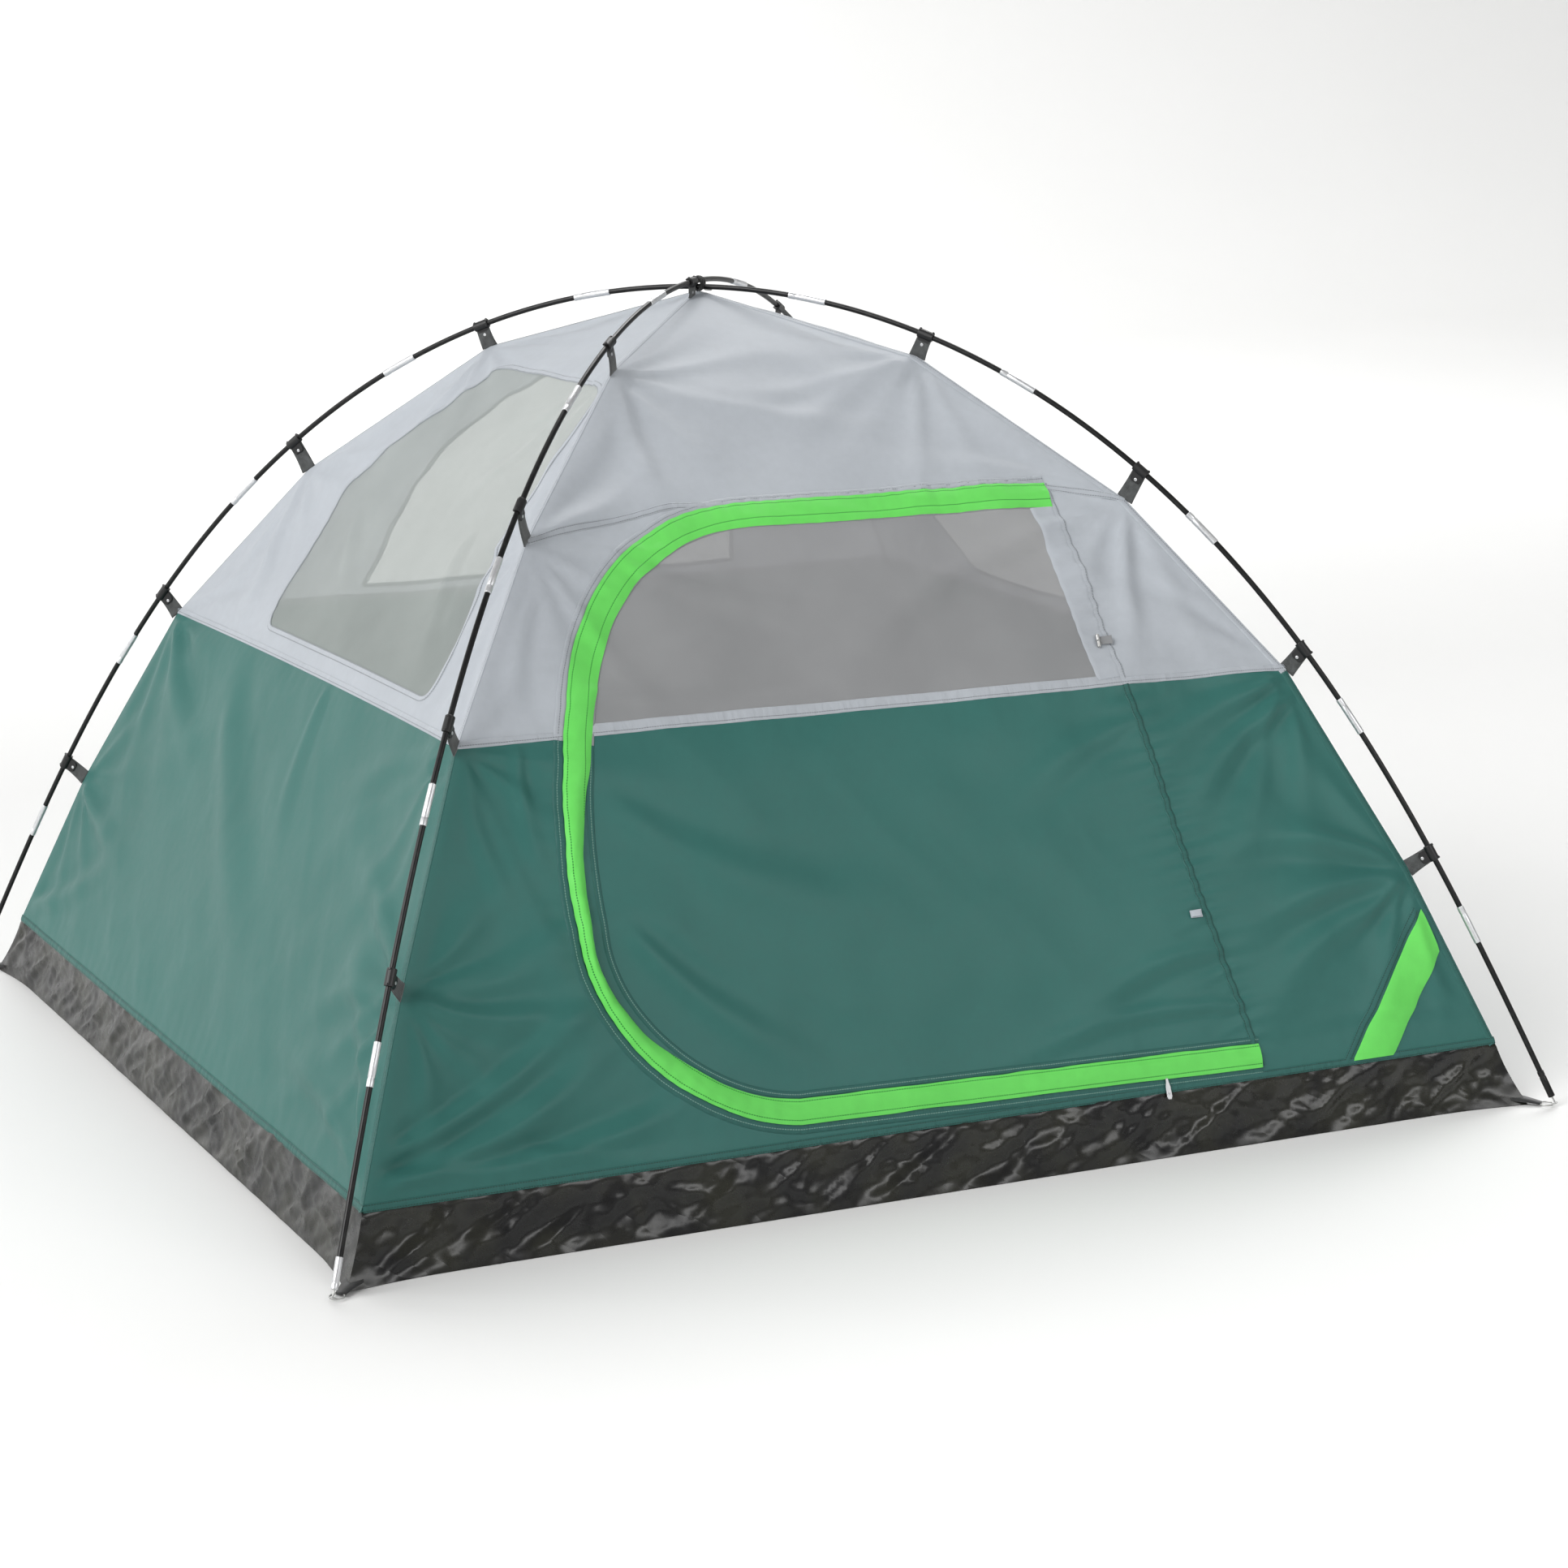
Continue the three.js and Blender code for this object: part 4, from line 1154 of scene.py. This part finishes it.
def front_wall():
    cut, left = split_at(ZIP, V_SEAM)
    half = float(ridge_half(V_SEAM))
    left_seam = resample([(-half, V_SEAM), left], EDGE_STEP)
    right_seam = resample([SEAM_END, (half, V_SEAM)], EDGE_STEP)
    lower = [*level(V_TUB, -1, 1), *LOWER_RIGHT, *right_seam[-2::-1], *SPINE_BELOW[:-1],
             *ZIP[cut:][::-1], *left_seam[::-1], *LOWER_LEFT]
    upper = [*left_seam, *ZIP[:cut][::-1], *SPINE_ABOVE[1:], *right_seam, *UPPER_SIDES]
    upper_hem, lower_hem = zip_hems("front", HEM_OUT, HEM_LIFT, "tent", grey_hem)
    cloth_above = panel("front_upper_cloth", "front", upper, grey_cloth)
    declare(cloth_above, "grey_cloth", "front_upper", sewn=[upper_hem])
    cloth_below = panel("front_lower_cloth", "front", lower, green_cloth, step=FRONT_STEP)
    declare(cloth_below, "green_cloth", "front_lower", sewn=[lower_hem])
    bend = float(ridge_half(V_BEND))
    top_seam = [(-bend, V_BEND), *on_cloth(TOP_SEAM_MIDDLE), (bend, V_BEND)]
    seam_band("front_seam_left", "front", left_seam, "grey", side=1)
    seam_band("front_seam_right", "front", right_seam, "grey", side=1)
    seam_band("front_top_seam", "front", resample(top_seam, 0.015), "grey")
    seam_band("hinge_seam_upper", "front", [SPINE[0], *SPINE_ABOVE[1:], SEAM_END], "grey")
    seam_band("hinge_seam_lower", "front", [SEAM_END, *SPINE_BELOW], "green")


STRIPE_LEFT = [(0.700, 0.104), (0.880, 0.318)]  # (a, z)
STRIPE_RIGHT = [(0.779, 0.104), (0.901, 0.250)]
STRIPE_CUT = [0.3, 0.08]  # its length and width laid flat


def stripe():
    """The bright diagonal stripe sewn across the wall's lower right corner."""
    left = np.array(resample(on_cloth(STRIPE_LEFT), RIBBON_STEP))
    right = np.array(resample(on_cloth(STRIPE_RIGHT), RIBBON_STEP))
    count = len(left)
    places = np.linspace(0, 1, count)
    right = np.array([np.interp(places, np.linspace(0, 1, len(right)), c) for c in right.T]).T
    spread = np.linspace(0, 1, 9)[:, None]
    p = left[:, None] * (1 - spread) + right[:, None] * spread
    lift = np.array([0.0012, 0.0034, 0.0040, 0.0044, 0.0044, 0.0044, 0.0040, 0.0034, 0.0012])
    points = surface("front", p[..., 0], p[..., 1], np.broadcast_to(lift, p.shape[:2]))
    obj = make("corner_stripe", points.reshape(-1, 3), grid_faces(count, 9), lime_cloth, p.reshape(-1, 2))
    obj["cut"] = STRIPE_CUT
    declare(obj, "lime_cloth", turned=FLAP_ALLOWANCE)
    seam_band("stripe_seam", "front", [(a - 0.012, v) for a, v in left], "green")


def door():
    edge = [tuple(p) for p in moved(ZIP, ZIP_CHANNEL * 0.6)]
    edge = [p for p in edge if p[0] < spine_a(p[1])]
    cut, left = split_at(edge, V_SEAM)
    inner = resample([left, SEAM_END], EDGE_STEP)
    above = [p for p in SPINE_ABOVE if p[1] < edge[0][1]]
    below = [p for p in SPINE_BELOW if p[1] > edge[-1][1]]
    net_hem, low_hem = zip_hems("door", DOOR_HEM_OUT, DOOR_HEM_LIFT, "door", net_tape)
    spine = [(a - BORDER_WIDTH - 0.001, v) for a, v in SPINE_ABOVE if v < v_of(BORDER_TOP_Z)]
    border = ribbon("door_border", "front", resample(spine, RIBBON_STEP), np.linspace(0, BORDER_WIDTH, 12),
                    (0.0006, *[0.0020] * 10, 0.0008), grey_cloth)
    seam = ribbon("door_seam", "front", resample([left, SEAM_END], RIBBON_STEP), BAND_OUT * 1.6 + 0.009,
                  BAND_LIFT, grey_band)
    trim(border, "grey_cloth", body="door")
    trim(seam, "grey_cloth", body="door")
    net = panel("door_net_panel", "front", [*edge[:cut], *inner, *above[::-1]], door_net)
    declare(net, "netting", "door_mesh", sewn=[net_hem, border, seam], body="door")
    lower = [*edge[cut:], *below[::-1], *inner[::-1]]
    lower_cloth = panel("door_lower_cloth", "front", lower, green_cloth, step=DOOR_STEP)
    declare(lower_cloth, "green_cloth", "door_lower", sewn=[low_hem], body="door")


def flap():
    """The bright flap sewn to the door's edge, its outer edge loose over the zip."""
    line = resample(ZIP, RIBBON_STEP)
    place = lengths_of(line)
    share = place / place[-1]
    ripple = noise(place * 14, place * 0 + 2.0, 5)
    curl = bell(share, 0.535, 0.085)
    pinch = bell(share, 0.47, 0.035)
    buckle = bell(share, 0.63, 0.02)
    broad = smoothstep(0.56, 0.44, share)
    narrow = 0.45 * curl + 0.15 * pinch - 0.12 * buckle - 0.26 * broad
    q = np.linspace(0, 1, 11)
    outer = -0.0015 + 0.0012 * ripple
    inner = FLAP_WIDTH * (1 - narrow) + 0.0012 * noise(place * 22, place * 0 + 7, 8) + 0.002 * curl * ripple
    offsets = outer[:, None] + (inner - outer)[:, None] * q
    arch = np.sin(np.pi * q) ** 0.8
    free = (1 - q) ** 1.5
    height = 0.0026 + 0.0012 * ripple + 0.010 * curl
    wave = 0.0009 * noise(place[:, None] * 30 + q * 2, q[None] * 3 + place[:, None] * 4, 12)
    lifts = 0.0016 + height[:, None] * arch + 0.0018 * free + wave * arch
    piece = ribbon("zip_flap", "front", line, offsets, lifts, lime_cloth)
    piece["cut"] = [float(place[-1]), 1.26 * FLAP_WIDTH + 0.004]
    declare(piece, "lime_cloth", "door_zip_flap", body="door", turned=FLAP_ALLOWANCE)


def teeth(name, inset, body):
    """One row of the zip's moulded teeth on its tape."""
    fine = resample(ZIP, TOOTH_PITCH)
    tooth = np.where(np.arange(len(fine)) % 2 == 0, 1.0, 0.25)[:, None]
    offsets = inset + np.array((-0.0022, -0.002, 0, 0.002, 0.0022))
    lifts = np.array((-0.0022, 0.0, 0.0004, 0.0, -0.0022)) * tooth - 0.001
    trim(ribbon(name, "front", fine, offsets, lifts, hook_black), "zip_metal", body=body)


def plain_wall(wall):
    outline = window_line(wall)
    outline = resample([*outline, outline[0]], WINDOW_STEP)
    band = ribbon(f"{wall}_window_band", wall, outline, BAND_OUT * 0.8, BAND_LIFT, grey_band)
    trim(band, "grey_cloth")
    seam = seam_band(f"{wall}_seam", wall, level(V_SEAM, -1, 1), "grey", side=1)
    upper = [*level(V_SEAM, -1, 1), *UPPER_SIDES]
    upper_cloth = panel(f"{wall}_upper_cloth", wall, upper, grey_cloth, holes=[outline[:-1]])
    declare(upper_cloth, "grey_cloth", f"{wall}_upper", sewn=[seam])
    net = panel(f"{wall}_window_net", wall, outline[:-1], window_net, lift=-0.0006)
    declare(net, "netting", f"{wall}_window", sewn=[band])
    lower = [*level(V_TUB, -1, 1), *LOWER_RIGHT, *level(V_SEAM, 1, -1)[1:], *LOWER_LEFT]
    lower_cloth = panel(f"{wall}_lower_cloth", wall, lower, green_cloth)
    declare(lower_cloth, "green_cloth", f"{wall}_lower")


def ridge_seam(wall, label, low, high, colour):
    """Part of a ridge's felled seam, which folds over the meeting of two walls."""
    offsets = (0.0, 0.0015, 0.004, 0.009, 0.0125, 0.013)
    lifts = (0.0006, 0.0010, 0.0012, 0.0012, 0.0009, 0.0)
    line = ridge_line(1, low, high, 0.008)
    trim(ribbon(f"{wall}_ridge_{label}", wall, line, offsets, lifts, BANDS[colour]), f"{colour}_cloth")


# ---- groundsheet ----

FLOOR_POINTS = 61
SHEET_FLAT = 2.21  # the floor with its edges laid flat
STRAP_PULL = 0.017  # how far a corner's strap draws it out


def pulled_to_rings(points):
    """The foot of each corner drawn out along its diagonal by the strap sewn to it."""
    way = np.where(points[:, :2] < 0, -1.0, 1.0)
    gap = np.hypot(*(points[:, :2] - way * RIDGE_OUT[0]).T)
    low = np.clip(1 - points[:, 2] / TUB_Z, 0, 1) ** 1.6
    pull = STRAP_PULL * low * np.exp(-(gap / 0.07) ** 1.5)
    return points + np.hstack([way * pull[:, None], np.zeros((len(points), 1))])


def groundsheet():
    """One sheet: the floor and its four creased, raised edges."""
    top = V_TUB + 0.004
    outline = [*level(0, -1, 1, TUB_STEP), *ridge_line(1, 0, top, TUB_STEP)[1:],
               *level(top, 1, -1, TUB_STEP)[1:], *ridge_line(-1, 0, top, TUB_STEP)[-2:0:-1]]
    edge_uv, edge_faces = triangulate(outline, [], TUB_STEP)
    a, v = edge_uv.T
    tucked = np.where(v > V_TUB, -0.0025, 0.0)
    parts = [(surface(wall, a, v, tucked, tub_relief), edge_faces) for wall in WALL_TURNS]
    span = np.linspace(-1, 1, FLOOR_POINTS) * RIDGE_OUT[0]
    gx, gy = np.meshgrid(span, span)
    edge = smoothstep(0, 0.1, RIDGE_OUT[0] - np.maximum(np.abs(gx), np.abs(gy)))
    rumple = 0.004 * edge * folds(gx * 3, gy * 3.4, 77)
    floor = np.stack([gx, gy, 0.0006 + rumple], -1).reshape(-1, 3)
    points, faces = merged([*parts, (floor, grid_faces(FLOOR_POINTS, FLOOR_POINTS))])
    uv = np.concatenate([*[edge_uv] * 4, floor[:, :2]])
    obj = make("groundsheet", pulled_to_rings(np.array(points)), faces, floor_cloth, uv)
    obj["cut"] = [SHEET_FLAT, SHEET_FLAT]
    declare(obj, "floor_tarpaulin", "floor_tub", held="laid")
    for wall in WALL_TURNS:
        seam_band(f"{wall}_foot_seam", wall, level(top, -1, 1), "green")


# ---- corners ----

STRAP_SECTION = ((-1, -0.4), (-0.9, 1), (0, 1), (0.9, 1), (1, -0.4), (0.9, -1), (0, -1), (-0.9, -1))
UP = np.array((0, 0, 1.0))
RING_Z = 0.004
RING_WIRE = 0.0014
PIN_R = 0.0014
EYE_AT = 0.0135  # the pin's eye, out from the ring's centre
EYE_R = 0.0042
EYE_WIRE = 0.0011
EYE_LEAN = 0.6  # its rise for each unit out
STRAP_HALF = 0.016
STRAP_THICK = 0.0034  # on each side of its middle
LASHING_R = 0.0115
CORD_R = 0.0022
APEX_RING_R = 0.006
APEX_RING_WIRE = 0.0011


def corner(name, pole, sign):
    """A corner's ring with the pin that stands in the pole's end, and the strap it hangs on."""
    out = pole.out * sign
    side = pole.side
    centre = out * RING_AT * ROOT2 + UP * RING_Z
    end, tangent, _, _ = pole.frame(sign * pole.end)
    eye = centre + out * EYE_AT
    leaning = (out + UP * EYE_LEAN) / math.hypot(1, EYE_LEAN)
    parts = [torus(centre, out, side, RING_R, RING_WIRE),
             torus(eye + UP * 0.0016, leaning, side, EYE_R, EYE_WIRE, 24, 10),
             bar_between(eye + UP * 0.004, end - tangent * sign * 0.004, PIN_R)]
    ring = join(f"{name}_ring_and_pin", parts, ring_metal, smooth=True)
    trim(ring, "ring_steel", f"ring_{name}")

    start = out * (RIDGE_OUT[0] * ROOT2 - 0.02)
    finish = out * (RING_AT * ROOT2 - RING_R + 0.003)
    rows, count, points, uv = 14, len(STRAP_SECTION), [], []
    for i in range(rows):
        t = i / (rows - 1)
        half = STRAP_HALF * (1 - 0.42 * t) + 0.001 * math.sin(5 * t)
        thick = STRAP_THICK * (1 - 0.6 * t)
        z = 0.0095 - 0.0055 * t + 0.002 * math.sin(math.pi * t)
        for j, (q, h) in enumerate(STRAP_SECTION):
            points.append(start * (1 - t) + finish * t + side * (half * q) + UP * (z + thick * h))
            uv.append((i * 0.005, j * 0.002))
    trim(make(f"{name}_strap", points, bar_faces(rows, count), strap_black, uv), "clip_webbing")


def apex_lashing():
    """The cord that ties the poles together where they cross, and the canopy's ring below it."""
    centre = np.array((0, 0, CROSSING_Z + 0.5 * POLE_LIFT))
    turns = [torus(centre, (x, y, 0), UP, LASHING_R, CORD_R, 28, 8)
             for x, y in ((1, 0), (0.94, 0.34), (0, 1), (-0.34, 0.94))]
    trim(join("apex_lashing", turns, strap_black, smooth=True), "clip_webbing")
    ring_at = np.array((0.012, -0.012, PEAK_Z + 0.002))
    ring = torus(ring_at, (0.7, -0.7, -0.14), (0.7, 0.7, 0), APEX_RING_R, APEX_RING_WIRE, 24, 8)
    trim(join("apex_ring", [ring], ring_metal, smooth=True), "ring_steel")


# ---- zip slider and toggles ----

TOGGLE_AT = (0.418, 0.768)  # (a, z) beside the hinge seam
BUTTON_AT = (0.463, 0.352)


def frame_on_wall(a, z, relief=wall_relief):
    """A point of the front wall, with axes along the wall, up it and out of it."""
    v = float(v_of(z))
    at, beside, above = surface("front", [a, a + 0.01, a], [v, v, v + 0.01], relief=relief)
    along, up = unit(beside - at), unit(above - at)
    return at, along, up, np.cross(along, up)


def zip_slider():
    low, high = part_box("zip_slider")
    x = 0.5 * (low[0] + high[0])
    at, *axes = frame_on_wall(x, foot_z(x), lambda wall, a, v: 0 * a)
    _, up, out = axes
    wing = [(-0.0065, -0.0035), (-0.0045, -0.0045), (0.0045, -0.0045), (0.0065, -0.0025),
            (0.0065, 0.0025), (0.0045, 0.0045), (-0.0045, 0.0045), (-0.0065, 0.0035)]
    neck = [(p * 0.3, q * 0.5) for p, q in wing]
    centre = at + up * 0.005
    parts = [
        loft(wing, [(-0.0044, 0.9), (-0.0040, 1), (-0.0030, 1), (-0.0026, 0.95)], centre, *axes),
        loft(wing, [(-0.0004, 0.95), (0.0, 1), (0.0008, 1), (0.0012, 0.9)], centre, *axes),
        loft(neck, [(-0.003, 1), (0.0, 1)], centre, *axes),
        loft(circle(0.0022, 12), [(-0.002, 1), (0.0030, 0.9), (0.0036, 0.6)], at + up * 0.0013, *axes),
    ]
    trim(join("zip_slider_body", parts, zip_metal), "zip_metal", "zip_slider", body="zip_slider")

    top = at + out * 0.0038 - up * 0.0006
    right_half = [(0.0020, 0.0), (0.0024, -0.006), (0.0042, -0.013), (0.0046, -0.029), (0.0028, -0.033)]
    outline = [(-0.0020, 0.0), *right_half, *[(-p, q) for p, q in right_half[:0:-1]]]
    inset = [(p * 0.55, -0.019 + (q + 0.019) * 0.55) for p, q in outline]
    parts = [loft(outline, slab(-0.0008, 0.0008, 0.0003, 0.96), top, *axes),
             loft(inset, [(0.0006, 1), (0.0013, 0.85)], top, *axes)]
    trim(join("zip_pull_tab", parts, zip_metal), "zip_metal", "zip_pull", body="zip_pull")


def toggles():
    """The loop and toggle that hold the rolled-up door, and the tab they button through."""
    at, *axes = frame_on_wall(*TOGGLE_AT)
    along, up, out = axes
    at = at + out * 0.003
    tab = [(-0.022, -0.006), (0.006, -0.007), (0.006, 0.007), (-0.022, 0.006)]
    loop = loft(tab, slab(0.0022, 0.0044, 0.0004, 0.97), at, *axes)
    trim(join("toggle_loop", [loop], net_tape), "grey_cloth")
    knob_at = at - along * 0.020 + out * 0.0065
    bars = [bar_between(knob_at - up * half, knob_at + up * half, radius, 14)
            for half, radius in ((0.011, 0.0032), (0.002, 0.0042))]
    trim(join("toggle_bar", bars, ring_metal, smooth=True), "grey_cloth")

    at, *axes = frame_on_wall(*BUTTON_AT)
    tab = [(-0.016, -0.006), (0.004, -0.0065), (0.004, 0.0065), (-0.016, 0.006)]
    small = [(p * 0.8 - 0.003, q * 0.8) for p, q in tab]
    parts = [loft(tab, slab(0.0022, 0.0048, 0.0004, 0.97), at, *axes),
             loft(small, [(0.0050, 0.97), (0.0054, 1), (0.0076, 1), (0.0080, 0.9)], at, *axes)]
    trim(join("toggle_tab", parts, grey_cloth), "grey_cloth")


# ---- assembly ----

place_camera()
studio()
for pole in POLES.values():
    build_pole(pole)
for corner_name, (pole_name, sign) in CORNERS.items():
    for i, share in enumerate(CLIP_AT):
        k = len(RIDGE_Z) - 2 - i
        name = f"clip_{corner_name}_{i + 1}"
        build_clip(name, POLES[pole_name], share, sign, RIDGE_OUT[k], RIDGE_Z[k])
    corner(corner_name, POLES[pole_name], sign)
apex_out = APEX_CLIP_AT * TIP
apex_z = PEAK_Z - apex_out * (PEAK_Z - RIDGE_Z[-2]) / RIDGE_OUT[-2]
build_clip("clip_apex", POLES["upper"], APEX_CLIP_AT, -1, apex_out, apex_z)
apex_lashing()
front_wall()
stripe()
door()
flap()
teeth("zip_teeth_wall", 0.0035, "tent")
teeth("zip_teeth_door", 0.0065, "door")
for wall in ("left", "right", "back"):
    plain_wall(wall)
for wall in WALL_TURNS:
    ridge_seam(wall, "lower", V_TUB, V_SEAM, "green")
    ridge_seam(wall, "upper", V_SEAM, PEAK_V - 0.01, "grey")
groundsheet()
zip_slider()
toggles()
